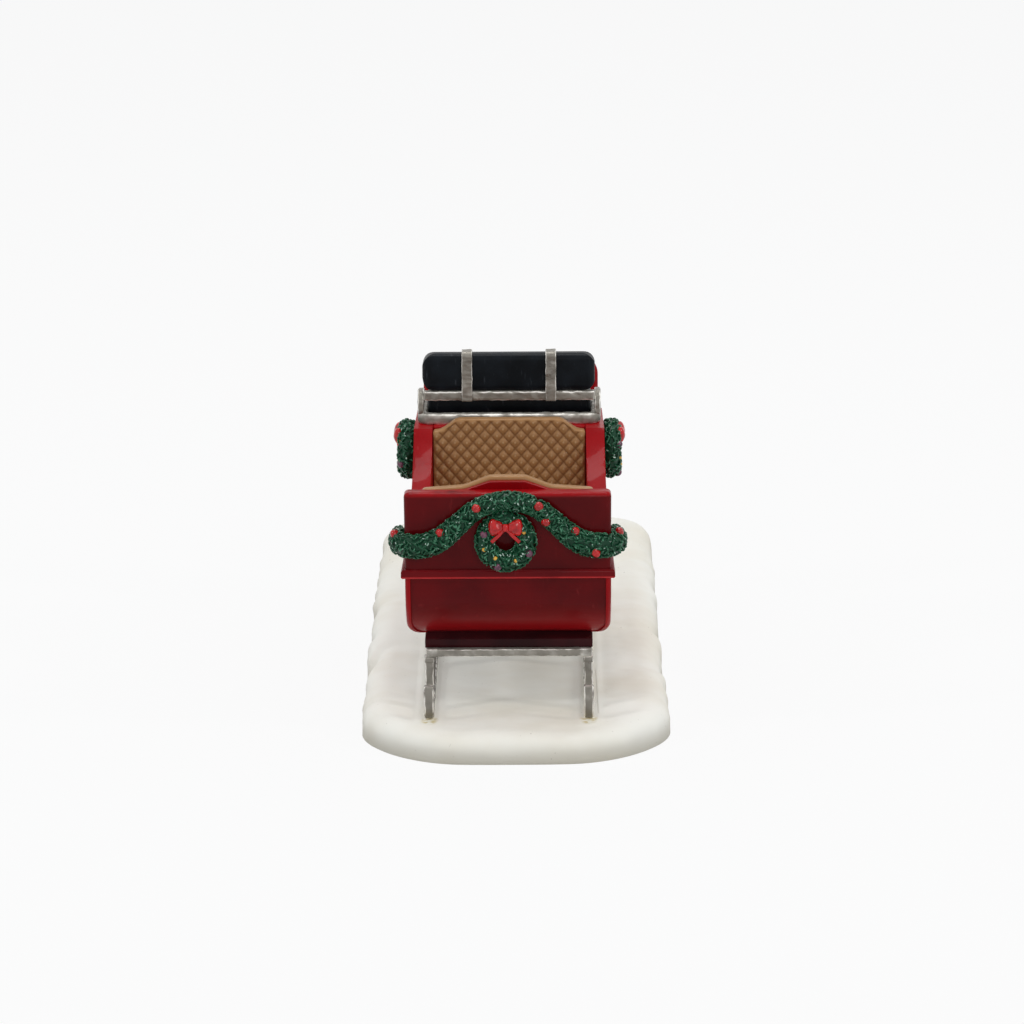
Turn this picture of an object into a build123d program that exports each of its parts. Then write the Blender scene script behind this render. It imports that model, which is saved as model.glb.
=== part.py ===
from build123d import *
import os
from math import cos, radians, sin, sqrt

# Toy vis-a-vis sleigh, cast in resin, on its snow plinth. All sizes are in millimetres.
# The plinth's middle is the origin, +Y is the way the sleigh travels and +Z is up. The sleigh itself is
# drawn from the point where its runners' tails meet the snow, on its own centre line: "forward" and "up"
# are measured from there, and it is set down on the plinth at the end.

# Plinth
PLINTH_LENGTH = 226.0
PLINTH_WIDTH = 76.0
PLINTH_CORNER = 25.0      # rounding of its four corners in plan
PLINTH_PINCH = 1.3        # how much narrower each side is at the far end
SNOW_TOP = 7.0            # height of the snow that the runners stand on
BANK_RISE = 1.6           # how much higher the banks stand along both sides
RIM_RADIUS = 4.0          # rounding of the rim
TROUGH_RADIUS = 300.0     # curve of the shallow trough between the banks
TRACK_MARGIN = 0.5        # snow cleared on each side of a runner
SLEIGH_X = -1.8           # the sleigh stands a little off the plinth's centre line
TAIL_INSET = 14.0         # from the plinth's near edge to the runners' tails

# Runners, knees and crossbars
RUNNER_GAUGE = 38.7       # between the runners' middles
RUNNER_WIDTH = 2.3
RUNNER_DEPTH = 2.2
TAIL_HEIGHT = 8.9
TAIL_RADIUS = 4.0
RUNNER_FLAT_END = 100.0   # where the runners leave the snow at the front
NOSE_RADIUS = 23.0
CURL_RADIUS = 7.0
RUNNER_TIP = 1.0           # rounding of the runners' tails
KNEE_STATIONS = {"rear": 12.0, "middle": 50.0, "front": 88.0}
KNEE_WIDTH = 2.0
KNEE_FOOT = 6.0
KNEE_WAIST = 2.6
COLLAR_HEIGHT = 1.3
COLLAR_PROUD = 0.15
CROSSBAR_BOTTOM = 13.4
CROSSBAR_HEIGHT = 2.0
CROSSBAR_DEPTH = 3.0
CROSSBAR_LENGTH = 40.2
BAR_CHAMFER = 0.3
SILL_THICKNESS = 2.2
SILL_WIDTH = 40.8
SILL_START = 12.0
SILL_END = 92.0

# Body
HALF_WIDTH_REAR = 25.0
HALF_WIDTH_DASH = 22.4
BODY_CORNER = 5.0         # rounding of the bottom edges along both sides
BODY_ROUNDING = 1.2       # rounding of the rear corners and the rear rim
WALL = 4.6                # side panels
PANEL = 4.0               # rear panel
EDGE_STRIP = 1.3          # how much of the side panels' ends shows beside the rear panel, under the belt
PANEL_SET = 0.3           # how far the rear panel lies inside those ends
FLOOR = 3.0
BELT_HEIGHT = 35.2        # underside of the belt moulding
REAR_SET = 3.0            # how far the rear panel stands forward at the belt
REAR_TOP = 57.0
ARM_END = 4.5             # where the side's top edge starts its dip
DIP_MIDDLE = 31.0
DIP_HEIGHT = 45.5
BOX_START = 58.0          # where the side's top edge is level again
BOX_REAR = 60.0           # rear of the box that carries the box seat
BOX_END = 80.0
BOX_HEIGHT = 59.4
FOOTWELL_FORWARD = 97.0
FOOTWELL_LOW = 36.0
FOOTWELL_TOP = 48.0
FRONT_TANGENT = 86.0      # where the underside starts to curve up to the dash
FRONT_RADIUS = 27.0
FRONT_TIP = 50.0
BELT_THICKNESS = 2.2
BELT_PROUD = 0.9
BELT_ROUNDING = 0.6
BELT_END = 108.0
DASH_THICKNESS = 2.5
DASH_TOP = 65.5
DASH_CORNER = 5.0
DASH_ROUNDING = 0.9
DASH_START_ANGLE = 72.0   # degrees under the level where the dash board begins

# Rear and front seats
SEAT_GAP = 0.3            # clearance round the loose upholstery
SEAT_HEIGHT = 39.0
CUSHION_THICKNESS = 5.5
REAR_SEAT_FRONT = 26.0
FRONT_SEAT_FRONT = 42.0
CUSHION_OVERHANG = 1.0
CREST_BOARD = 2.0
SEAT_BACK = 3.5
CREST_END = 55.6          # height of the rear crest at the walls, at its shoulders and in the middle
CREST_SIDE = 56.7
CREST_MIDDLE = 58.9
CREST_PLATEAU = 8.5       # width of the level middle of the crest
CREST_SHOULDER = 20.5     # width over both shoulders of the crest
CREST_ROUNDING = 3.0
CUSHION_ROUNDING = 1.5
TRIM_RISE = 1.2           # how much the upholstery stands above the board behind it
FRONT_BACK_DROP = 0.4      # how far the front back's ends lie below the box's top
FRONT_BACK_RISE = 2.6      # how far its middle stands above it
FRONT_BACK_PLATEAU = 26.0
FRONT_BACK_SHOULDER = 34.0

# Box seat
RAIL_HALF_WIDTH = 22.8
RAIL_CORNER = 3.0
LOWER_RAIL = 2.7
BOX_PAD = 7.1              # thickness of the box seat's pad
BOX_SEAT_REAR = 62.0
BOX_SEAT_FRONT = 82.0
UPPER_RAIL_RISE = 5.9      # from the box's top to the underside of the rail behind the seat
UPPER_RAIL = 2.3
RAIL_DEPTH = 2.4
BACK_HEIGHT = 9.9
BACK_THICKNESS = 4.6
BACK_HALF_WIDTH = 21.4
BACK_CORNER = 2.8
STRAP_REAR = 62.0
STRAP_HOOK = 5.5           # how far a strap reaches forward over the cushion
STRAP_WIDTH = 2.6
STRAP_SPACING = 20.9
STRAP_THICKNESS = 1.0
STRAP_BEND = 0.9
ARM_THICKNESS = 1.5
ARM_STRIP = 2.0
ARM_FRONT = 77.0
ARM_RADIUS = 3.0
ARM_SCROLL = 2.0

# Garland, wreaths and bows
GARLAND_RADIUS = 2.8
GARLAND_STAND = 0.8       # from the panel's face to the garland's middle
GARLAND_CREST = 55.3
CREST_RADIUS = 14.0
GARLAND_SLOPE = 40.0      # degrees, between its crest and its sags
SAG_RADIUS = 11.2
SAG_SPREAD = 21.8         # from the middle to the lowest point of a sag
GARLAND_TAIL = 5.0        # what runs on along each side
BERRY_RADIUS = 1.1
GARLAND_BERRIES = [        # (place across the rear, degrees from straight up towards the outside)
    (-26.0, 35.0),
    (-16.2, 40.0),
    (-7.6, 70.0),
    (7.4, 60.0),
    (9.1, 130.0),
    (16.3, 35.0),
    (21.2, 115.0),
    (26.0, 25.0),
]
WREATH_RING = 5.0         # radius of a wreath's middle line
WREATH_TUBE = 2.45
WREATH_STAND = 1.9
REAR_WREATH_HEIGHT = 45.0
SIDE_WREATH_FORWARD = 66.0
SIDE_WREATH_HEIGHT = 52.4
BOW_SPAN = 7.4
BOW_LOOP = 3.9
BOW_ROUNDING = 1.1
BOW_DEPTH = 1.8
BOW_SUNK = 0.9            # how far its rear lies below the wreath's crown
BOW_KNOT = 1.1
BOW_TAIL = 4.6
BOW_TAIL_WIDTH = 1.0
BOW_TAIL_SPLAY = 42.0

# Shafts
SHAFT_RADIUS = 1.1
SHAFT_SPREAD = 18.0
SHAFT_LEVEL = 10.0        # level stretch in front of the draft bar
SHAFT_RISE = 16.0
SHAFT_RISE_LENGTH = 26.0
SHAFT_LENGTH = 72.0
SHAFT_BEND = 22.0
SHAFT_TIP = 0.7
DRAFT_BAR = 2.4
DRAFT_BAR_ANGLE = 30.0    # where the draft bar meets the runners' noses, in degrees under the level
YOKE_RADIUS = 0.9
YOKE_FORWARD = 6.0

LEFT, RIGHT = -1, 1
SIDES = {"left": LEFT, "right": RIGHT}

BODY_BOTTOM = CROSSBAR_BOTTOM + CROSSBAR_HEIGHT + SILL_THICKNESS
FLOOR_TOP = BODY_BOTTOM + FLOOR
TUCK_RADIUS = BELT_HEIGHT - BODY_BOTTOM
FLARE_RADIUS = ((REAR_TOP - BELT_HEIGHT) ** 2 + REAR_SET**2) / (2 * REAR_SET)
FRONT_FACE = FRONT_TANGENT + FRONT_RADIUS
RUNNER_X = RUNNER_GAUGE / 2
REACH = 452.0              # longer than anything here, for tools that cut right through
OVERRUN = 3.0              # how far the body's loft runs on past both its ends


def closed(*edges):
    """A flat face inside edges that run round it in order."""
    return make_face(Curve() + list(edges))


def across(face, half_width):
    """A prism across the sleigh from a face drawn in its side view, as (forward, up)."""
    return extrude(Plane.YZ * face, amount=half_width, both=True)


def lengthwise(face, start, end):
    """A prism along the sleigh from a face drawn as seen from behind, as (right, up)."""
    rear_view = Plane((0, end, 0), x_dir=(1, 0, 0), z_dir=(0, -1, 0))
    return extrude(rear_view * face, amount=end - start)


def block(x0, x1, y0, y1, z0, z1):
    """A plain box between two corners."""
    return Pos(x0, y0, z0) * Box(x1 - x0, y1 - y0, z1 - z0, align=(Align.MIN,) * 3)


def half_width(forward):
    """The body's half width, which narrows evenly from the rear to the dash."""
    return HALF_WIDTH_REAR + (HALF_WIDTH_DASH - HALF_WIDTH_REAR) * forward / FRONT_FACE


def rear_face(up, inward=0.0):
    """How far forward the rear panel's face stands at a height above the belt."""
    return REAR_SET - FLARE_RADIUS + sqrt((FLARE_RADIUS + inward) ** 2 - (up - BELT_HEIGHT) ** 2)


def tub(inset, corner=0.0):
    """The body's tapered inside or outside, as a loft from the rear to the dash, open to the sky."""
    sections = []
    for forward in (-OVERRUN, FRONT_FACE + OVERRUN):
        half = half_width(forward) - inset
        outline = Rectangle(2 * half, REACH, align=(Align.CENTER, Align.MIN))
        if corner:
            outline = fillet(outline.vertices().group_by(Axis.Y)[0], corner)
        rear_view = Plane((0, forward, BODY_BOTTOM), x_dir=(1, 0, 0), z_dir=(0, -1, 0))
        sections.append(rear_view * outline)
    return loft(sections, ruled=True)


def snow_plinth():
    """The cast base: a long rounded slab of snow with banks along both sides and a track per runner."""
    x, y = PLINTH_WIDTH / 2, PLINTH_LENGTH / 2
    corners = [  # (x, y, rounding)
        (-x, -y, PLINTH_CORNER),
        (x, -y, PLINTH_CORNER),
        (x, 0, 2 * PLINTH_WIDTH),
        (x - PLINTH_PINCH, y, PLINTH_CORNER),
        (PLINTH_PINCH - x, y, PLINTH_CORNER),
        (-x, 0, 2 * PLINTH_WIDTH),
    ]
    outline = make_face(Polyline(*[(cx, cy) for cx, cy, _ in corners], close=True))
    for cx, cy, rounding in corners:
        outline = fillet(outline.vertices().sort_by_distance((cx, cy, 0))[0], rounding)
    slab = extrude(outline, amount=SNOW_TOP + BANK_RISE)
    slab = fillet(slab.faces().sort_by(Axis.Z)[-1].outer_wire().edges(), RIM_RADIUS)
    low = SNOW_TOP + BANK_RISE - (PLINTH_WIDTH / 2 - RIM_RADIUS) ** 2 / (2 * TROUGH_RADIUS)
    trough = Pos(SLEIGH_X, 0, low + TROUGH_RADIUS) * Rot(90, 0, 0) * Cylinder(TROUGH_RADIUS, REACH)
    slab -= trough
    tail = TAIL_INSET - y
    for side in SIDES.values():
        middle = SLEIGH_X + side * RUNNER_X
        reach = RUNNER_WIDTH / 2 + TRACK_MARGIN
        slab -= block(middle - reach, middle + reach, tail - TRACK_MARGIN, tail + FRONT_FACE,
                      SNOW_TOP, SNOW_TOP + BANK_RISE)
    return slab


def rear_strip(near, far, low, high):
    """The side view of a layer that follows the rear panel's flare, between two depths and two heights."""
    middle = (low + high) / 2
    return closed(
        ThreePointArc(*[(rear_face(up, near), up) for up in (low, middle, high)]),
        Line((rear_face(high, near), high), (rear_face(high, far), high)),
        ThreePointArc(*[(rear_face(up, far), up) for up in (high, middle, low)]),
        Line((rear_face(low, far), low), (rear_face(low, near), low)),
    )


def arc(centre, radius, start, end):
    """A circular arc between two angles in degrees."""
    at = [radians(start + (end - start) * share) for share in (0, 0.5, 1)]
    return ThreePointArc(*[(centre[0] + radius * cos(t), centre[1] + radius * sin(t)) for t in at])


def arc_strip(centre, inner, outer, start, end):
    """The side view of a bent board: a ring's stretch between two radii and two angles."""
    near, far = arc(centre, inner, start, end), arc(centre, outer, end, start)
    return closed(near, Line(near @ 1, far @ 0), far, Line(far @ 1, near @ 0))


def crest(low, end, side, middle, plateau, shoulder):
    """The rear view of a camel-back: ends that climb a little, two ramps and a level middle."""
    wide = HALF_WIDTH_REAR
    points = [(-wide, low), (-wide, end), (-shoulder / 2, side), (-plateau / 2, middle),
              (plateau / 2, middle), (shoulder / 2, side), (wide, end), (wide, low)]
    outline = make_face(Polyline(*points, close=True))
    for point in points[2:6]:
        outline = fillet(outline.vertices().sort_by_distance((*point, 0))[0], CREST_ROUNDING)
    return outline


def side_view():
    """The body's outline from the side: flared rear, dipped top edge, footwell and bent front."""
    tuck = (REAR_SET + TUCK_RADIUS, BELT_HEIGHT)
    front = (FRONT_TANGENT, BODY_BOTTOM + FRONT_RADIUS)
    return closed(
        ThreePointArc(*[(rear_face(up), up) for up in (REAR_TOP, (REAR_TOP + BELT_HEIGHT) / 2, BELT_HEIGHT)]),
        arc(tuck, TUCK_RADIUS, 180, 270),
        Line((tuck[0], BODY_BOTTOM), (front[0], BODY_BOTTOM)),
        arc(front, FRONT_RADIUS, -90, 0),
        Line((FRONT_FACE, front[1]), (FRONT_FACE, FRONT_TIP)),
        ThreePointArc((FRONT_FACE, FRONT_TIP), (FOOTWELL_FORWARD, FOOTWELL_LOW), (BOX_END, FOOTWELL_TOP)),
        Line((BOX_END, FOOTWELL_TOP), (BOX_END, BOX_HEIGHT)),
        Line((BOX_END, BOX_HEIGHT), (BOX_START, BOX_HEIGHT)),
        ThreePointArc((BOX_START, BOX_HEIGHT), (DIP_MIDDLE, DIP_HEIGHT), (ARM_END, REAR_TOP)),
        Line((ARM_END, REAR_TOP), (0, REAR_TOP)),
    )


# Body: one tapered block, rounded round its rear and split where its boards meet
body = across(side_view(), HALF_WIDTH_REAR + OVERRUN) & tub(0, BODY_CORNER)
rear_end = body.edges().filter_by(lambda edge: edge.center().Y < REAR_SET + TUCK_RADIUS)
rear_corners = rear_end.filter_by(lambda edge: abs(edge.center().X) > HALF_WIDTH_REAR - BODY_ROUNDING)
body = fillet(rear_corners + rear_end.group_by(Axis.Y)[0], BODY_ROUNDING)
inside = tub(WALL)
middle = body & inside


def rear_boards(near):
    """The rear panel's room: flared above the belt over the body's whole width, and tucked under below it
    between the side panels' ends. It starts at a depth from the body's face."""
    tuck = (REAR_SET + TUCK_RADIUS, BELT_HEIGHT)
    flare = across(rear_strip(min(near, 0), PANEL, BELT_HEIGHT, REAR_TOP), HALF_WIDTH_REAR + OVERRUN)
    under = across(arc_strip(tuck, TUCK_RADIUS - PANEL, TUCK_RADIUS - near, 180, 270), HALF_WIDTH_REAR)
    return flare + (under & tub(EDGE_STRIP, BODY_CORNER))


def side_panels():
    walls = (body - inside - rear_boards(-PANEL_SET)).solids().sort_by(Axis.X)
    return {f"side_panel_{name}": walls[0 if side == LEFT else -1] for name, side in SIDES.items()}


def rear_panel():
    return body & rear_boards(PANEL_SET)


dash_start = FRONT_TANGENT + FRONT_RADIUS * cos(radians(DASH_START_ANGLE))


def floor_board():
    start, end = REAR_SET + TUCK_RADIUS, dash_start + FLOOR / 2
    return middle & block(-REACH, REACH, start, end, BODY_BOTTOM, FLOOR_TOP)


def dash():
    """The curved board in front, bent up round the side panels' front edges."""
    centre = (FRONT_TANGENT, BODY_BOTTOM + FRONT_RADIUS)
    bent = arc_strip(centre, FRONT_RADIUS, FRONT_RADIUS + DASH_THICKNESS, -DASH_START_ANGLE, 0)
    board = across(bent, HALF_WIDTH_DASH)
    board += block(-HALF_WIDTH_DASH, HALF_WIDTH_DASH, FRONT_FACE, FRONT_FACE + DASH_THICKNESS,
                   centre[1], DASH_TOP)
    board = fillet(board.edges().filter_by(Axis.Y).group_by(Axis.Z)[-1], DASH_CORNER)
    rim = board.edges().filter_by(lambda edge: edge.center().Z > DASH_TOP - DASH_CORNER)
    return fillet(rim.filter_by(lambda edge: abs((edge @ 1 - edge @ 0).Y) < DASH_ROUNDING), DASH_ROUNDING)


def belt_moulding():
    """The raised band that runs round the rear and both sides."""
    slab = block(-REACH, REACH, REAR_SET - BELT_PROUD, BELT_END, BELT_HEIGHT, BELT_HEIGHT + BELT_THICKNESS)
    band = (slab & tub(-BELT_PROUD)) - body
    long = band.edges().filter_by(lambda edge: edge.length > 2 * BELT_THICKNESS)
    outer = long.filter_by(lambda edge: edge.center().Y < REAR_SET - BELT_PROUD / 2 or abs(
        edge.center().X) > half_width(edge.center().Y) + BELT_PROUD / 2)
    return fillet(outer, BELT_ROUNDING)


# Undercarriage
def runner(side):
    """A flat strip on edge to the snow, curled up behind and swept up to the dash in front."""
    low = RUNNER_DEPTH / 2
    tail, nose = TAIL_RADIUS - low, NOSE_RADIUS
    nose_tip = (RUNNER_FLAT_END + nose, low + nose)
    path = Wire([
        Line((low, TAIL_HEIGHT), (low, low + tail)),
        arc((low + tail, low + tail), tail, 180, 270),
        Line((low + tail, low), (RUNNER_FLAT_END, low)),
        arc((RUNNER_FLAT_END, low + nose), nose, -90, 0),
        arc((nose_tip[0] - CURL_RADIUS, nose_tip[1]), CURL_RADIUS, 0, 90),
        Line((nose_tip[0] - CURL_RADIUS, nose_tip[1] + CURL_RADIUS), (FRONT_TANGENT, nose_tip[1] + CURL_RADIUS)),
    ])
    path = Plane.YZ * path
    strip = sweep(Plane(path @ 0, z_dir=path % 0, x_dir=(1, 0, 0)) * Rectangle(RUNNER_WIDTH, RUNNER_DEPTH), path=path)
    tip = strip.faces().sort_by_distance(path @ 0)[0].edges().filter_by(Axis.X)
    strip = fillet(tip, RUNNER_TIP)
    centre = (FRONT_TANGENT, BODY_BOTTOM + FRONT_RADIUS)
    behind = Plane.YZ * (Pos(*centre) * Circle(FRONT_RADIUS + DASH_THICKNESS))
    strip -= extrude(behind, amount=REACH / 2, both=True)
    strip = strip.solids().sort_by(SortBy.VOLUME)[-1]
    return Pos(side * RUNNER_X, 0, 0) * strip


def knee(forward, side):
    """A flared post from the runner up to the crossbar, with a collar under the bar."""
    low, high, foot, waist = RUNNER_DEPTH, CROSSBAR_BOTTOM, KNEE_FOOT / 2, KNEE_WAIST / 2
    flare = foot - waist
    post = closed(
        Line((-foot, low), (foot, low)),
        RadiusArc((foot, low), (waist, low + flare), flare),
        Line((waist, low + flare), (waist, high)),
        Line((waist, high), (-waist, high)),
        Line((-waist, high), (-waist, low + flare)),
        RadiusArc((-waist, low + flare), (-foot, low), flare),
    )
    collar_half = KNEE_WIDTH / 2 + COLLAR_PROUD
    collar = block(-collar_half, collar_half, -waist - COLLAR_PROUD, waist + COLLAR_PROUD,
                   high - COLLAR_HEIGHT, high)
    return Pos(side * RUNNER_X, forward, 0) * (across(post, KNEE_WIDTH / 2) + collar)


def crossbar(forward):
    """A square bar across both knees, under the sill."""
    half = CROSSBAR_LENGTH / 2
    bar = block(-half, half, forward - CROSSBAR_DEPTH / 2, forward + CROSSBAR_DEPTH / 2,
                CROSSBAR_BOTTOM, CROSSBAR_BOTTOM + CROSSBAR_HEIGHT)
    return chamfer(bar.edges().filter_by(Axis.X), BAR_CHAMFER)


def sill_board():
    bottom = CROSSBAR_BOTTOM + CROSSBAR_HEIGHT
    return block(-SILL_WIDTH / 2, SILL_WIDTH / 2, SILL_START, SILL_END, bottom, BODY_BOTTOM)


# Shafts
bar_angle = radians(DRAFT_BAR_ANGLE)
bar_forward = RUNNER_FLAT_END + NOSE_RADIUS * cos(bar_angle)
bar_up = RUNNER_DEPTH / 2 + NOSE_RADIUS * (1 - sin(bar_angle))


def draft_bar():
    """The square bar between the runners' noses that the shafts start from."""
    half = (RUNNER_GAUGE - RUNNER_WIDTH) / 2
    bar = Pos(0, bar_forward, bar_up) * Box(2 * half, DRAFT_BAR, DRAFT_BAR)
    return chamfer(bar.edges().filter_by(Axis.X), BAR_CHAMFER)


def shaft(side):
    """A round stick that runs out level, rises and levels out again."""
    start = bar_forward + DRAFT_BAR / 2
    points = [
        (start, bar_up),
        (start + SHAFT_LEVEL, bar_up),
        (start + SHAFT_LEVEL + SHAFT_RISE_LENGTH, bar_up + SHAFT_RISE),
        (start + SHAFT_LENGTH, bar_up + SHAFT_RISE),
    ]
    path = Plane.YZ * FilletPolyline(*points, radius=SHAFT_BEND)
    stick = sweep(Plane(path @ 0, z_dir=path % 0) * Circle(SHAFT_RADIUS), path=path)
    tip = stick.faces().sort_by_distance(path @ 1)[0].edges()
    return Pos(side * SHAFT_SPREAD / 2, 0, 0) * fillet(tip, SHAFT_TIP)


def shaft_yoke():
    """The small round bar that ties the two shafts together near their roots."""
    bar = Pos(0, bar_forward + DRAFT_BAR / 2 + YOKE_FORWARD, bar_up)
    bar = bar * Rot(0, 90, 0) * Cylinder(YOKE_RADIUS, SHAFT_SPREAD)
    for side in SIDES.values():
        bar -= shaft(side)
    return bar.solids().sort_by(SortBy.VOLUME)[-1]


# Rear and front seats
BACK_DEPTH = PANEL + CREST_BOARD + SEAT_BACK


def seat_base(start, end):
    """A closed bench from wall to wall, cut to what stands behind and under it."""
    return middle & block(-REACH, REACH, start, end, FLOOR_TOP, SEAT_HEIGHT)


def cushion(half, start, end, low, high):
    """A plain padded block with rounded edges."""
    pad = block(-half, half, start, end, low, high)
    pad = fillet(pad.edges().filter_by(Axis.Z), CUSHION_ROUNDING)
    return fillet(pad.faces().sort_by(Axis.Z)[-1].outer_wire().edges(), CUSHION_ROUNDING)


def rear_cushion():
    end = REAR_SEAT_FRONT + CUSHION_OVERHANG
    half = half_width(end) - WALL - SEAT_GAP
    start = rear_face(SEAT_HEIGHT, BACK_DEPTH) + SEAT_GAP
    return cushion(half, start, end, SEAT_HEIGHT, SEAT_HEIGHT + CUSHION_THICKNESS)


def front_cushion():
    end = BOX_REAR - SEAT_BACK - SEAT_GAP
    half = half_width(end) - WALL - SEAT_GAP
    return cushion(half, FRONT_SEAT_FRONT - CUSHION_OVERHANG, end, SEAT_HEIGHT, SEAT_HEIGHT + CUSHION_THICKNESS)


def rear_back_layer(near, far, rise):
    """One layer of the rear seat's back, between two depths behind the panel's outer face."""
    layer = across(rear_strip(near, far, SEAT_HEIGHT, CREST_MIDDLE + rise), HALF_WIDTH_REAR)
    outline = crest(SEAT_HEIGHT, CREST_END + rise, CREST_SIDE + rise, CREST_MIDDLE + rise,
                    CREST_PLATEAU, CREST_SHOULDER)
    return layer & lengthwise(outline, -OVERRUN, FRONT_FACE) & inside


def front_back():
    """The tufted back of the front seat, in front of the box."""
    end = BOX_HEIGHT - FRONT_BACK_DROP
    outline = crest(SEAT_HEIGHT, end, end, BOX_HEIGHT + FRONT_BACK_RISE, FRONT_BACK_PLATEAU, FRONT_BACK_SHOULDER)
    return lengthwise(outline, BOX_REAR - SEAT_BACK, BOX_REAR) & inside


# Box seat
rail_rear = STRAP_REAR + STRAP_THICKNESS
rail_bottom = BOX_HEIGHT + UPPER_RAIL_RISE
back_bottom = rail_bottom + UPPER_RAIL
back_top = back_bottom + BACK_HEIGHT
arm_inner = RAIL_HALF_WIDTH - ARM_THICKNESS


def box_base():
    return middle & block(-REACH, REACH, BOX_REAR, BOX_END, FLOOR_TOP, BOX_HEIGHT)


def seat_plan(inset, corner):
    """The box seat's rounded outline in plan, drawn in by an inset."""
    plan = Pos(0, (BOX_SEAT_REAR + BOX_SEAT_FRONT) / 2) * RectangleRounded(
        2 * (RAIL_HALF_WIDTH - inset), BOX_SEAT_FRONT - BOX_SEAT_REAR - 2 * inset, corner)
    return plan


def lower_rail():
    """The frame round the seat, which lies on the box and on both side panels."""
    ring = seat_plan(0, RAIL_CORNER) - seat_plan(RAIL_DEPTH, RAIL_CORNER / 2)
    return Pos(0, 0, BOX_HEIGHT) * extrude(ring, amount=LOWER_RAIL)


def box_cushion():
    """The padded seat, which lies inside the frame, in front of its back."""
    half = RAIL_HALF_WIDTH - RAIL_DEPTH - SEAT_GAP
    start = rail_rear + BACK_THICKNESS + SEAT_GAP
    end = BOX_SEAT_FRONT - RAIL_DEPTH - SEAT_GAP
    return cushion(half, start, end, BOX_HEIGHT, BOX_HEIGHT + BOX_PAD)


def upper_rail():
    """The bar behind the seat, held between the two arms."""
    bar = block(-arm_inner, arm_inner, rail_rear, rail_rear + RAIL_DEPTH, rail_bottom, back_bottom)
    return chamfer(bar.edges().filter_by(Axis.X), BAR_CHAMFER)


def box_back():
    """The padded back, standing on the upper rail."""
    pad = block(-BACK_HALF_WIDTH, BACK_HALF_WIDTH, rail_rear, rail_rear + BACK_THICKNESS, back_bottom, back_top)
    pad = fillet(pad.edges().filter_by(Axis.Y), BACK_CORNER)
    return fillet(pad.faces().sort_by(Axis.Y)[-1].outer_wire().edges(), CUSHION_ROUNDING)


def strap(side):
    """A flat iron up the rear of the back that hooks over its top."""
    outer = [(STRAP_REAR, rail_bottom), (STRAP_REAR, back_top + STRAP_THICKNESS),
             (STRAP_REAR + STRAP_HOOK, back_top + STRAP_THICKNESS), (STRAP_REAR + STRAP_HOOK, back_top),
             (rail_rear, back_top), (rail_rear, rail_bottom)]
    outline = make_face(Polyline(*outer, close=True))
    outline = fillet(outline.vertices().sort_by_distance((*outer[1], 0))[0], STRAP_BEND)
    return Pos(side * STRAP_SPACING / 2, 0, 0) * across(outline, STRAP_WIDTH / 2)


def arm(side):
    """A bent flat iron from the upper rail, forward and down to the seat's frame, with a scroll at its foot."""
    low = BOX_HEIGHT + LOWER_RAIL
    start, end = rail_rear, ARM_FRONT
    size, height = end - start, back_bottom - low
    hoop = Pos((start + end) / 2, low) * Rectangle(size, height, align=(Align.CENTER, Align.MIN))
    hoop = fillet(hoop.vertices().group_by(Axis.Y)[-1], ARM_RADIUS + ARM_STRIP)
    gap = Pos((start + end) / 2, low) * Rectangle(size - 2 * ARM_STRIP, height - ARM_STRIP,
                                                  align=(Align.CENTER, Align.MIN))
    gap = fillet(gap.vertices().group_by(Axis.Y)[-1], ARM_RADIUS)
    scroll = Pos(end + ARM_SCROLL / 2, low + ARM_SCROLL) * Circle(ARM_SCROLL)
    outline = hoop - gap + scroll
    return Pos(side * (arm_inner + ARM_THICKNESS / 2), 0, 0) * across(outline, ARM_THICKNESS / 2)


# Garland, wreaths and bows
slope = radians(GARLAND_SLOPE)
bend_sum = CREST_RADIUS + SAG_RADIUS
slope_run = SAG_SPREAD - bend_sum * sin(slope)
sag_height = GARLAND_CREST - bend_sum * (1 - cos(slope)) - slope_run * sin(slope) / cos(slope)
sag_forward = rear_face(sag_height) - GARLAND_STAND
garland_lean = (rear_face(GARLAND_CREST) - rear_face(sag_height)) / (GARLAND_CREST - sag_height)
garland_side = HALF_WIDTH_REAR + GARLAND_STAND
garland_turn = garland_side - SAG_SPREAD


def garland_half(side):
    """Half of the garland's middle line: crest, slope and sag on the rear, then round the corner."""
    low = (0, sag_forward, sag_height)
    hang = Plane(low, x_dir=(side, 0, 0), z_dir=(0, -side, side * garland_lean))
    rise = (GARLAND_CREST - sag_height) * sqrt(1 + garland_lean**2)
    top = arc((0, rise - CREST_RADIUS), CREST_RADIUS, 90, 90 - GARLAND_SLOPE)
    sag = arc((SAG_SPREAD, SAG_RADIUS), SAG_RADIUS, 270 - GARLAND_SLOPE, 270)
    level = Plane(low, x_dir=(side, 0, 0), z_dir=(0, 0, side))
    turn = arc((SAG_SPREAD, garland_turn), garland_turn, -90, 0)
    tail = Line(turn @ 1, turn @ 1 + Vector(0, GARLAND_TAIL))
    return (hang * (Curve() + [top, Line(top @ 1, sag @ 0), sag])).edges() + (level * (Curve() + [turn, tail])).edges()


def garland_spot(across_by):
    """A point of the garland's middle line by its place across the rear, and the way outwards there."""
    reach = abs(across_by)
    if reach > SAG_SPREAD:
        side = reach / across_by
        return Vector(side * garland_side, sag_forward + garland_turn, sag_height), Vector(side, 0, 0)
    if reach < CREST_RADIUS * sin(slope):
        up = GARLAND_CREST - CREST_RADIUS + sqrt(CREST_RADIUS**2 - reach**2)
    elif reach > SAG_SPREAD - SAG_RADIUS * sin(slope):
        up = sag_height + SAG_RADIUS - sqrt(SAG_RADIUS**2 - (SAG_SPREAD - reach) ** 2)
    else:
        up = GARLAND_CREST - CREST_RADIUS * (1 - cos(slope)) - (
            reach - CREST_RADIUS * sin(slope)) * sin(slope) / cos(slope)
    return Vector(across_by, sag_forward + garland_lean * (up - sag_height), up), Vector(0, -1, 0)


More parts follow.
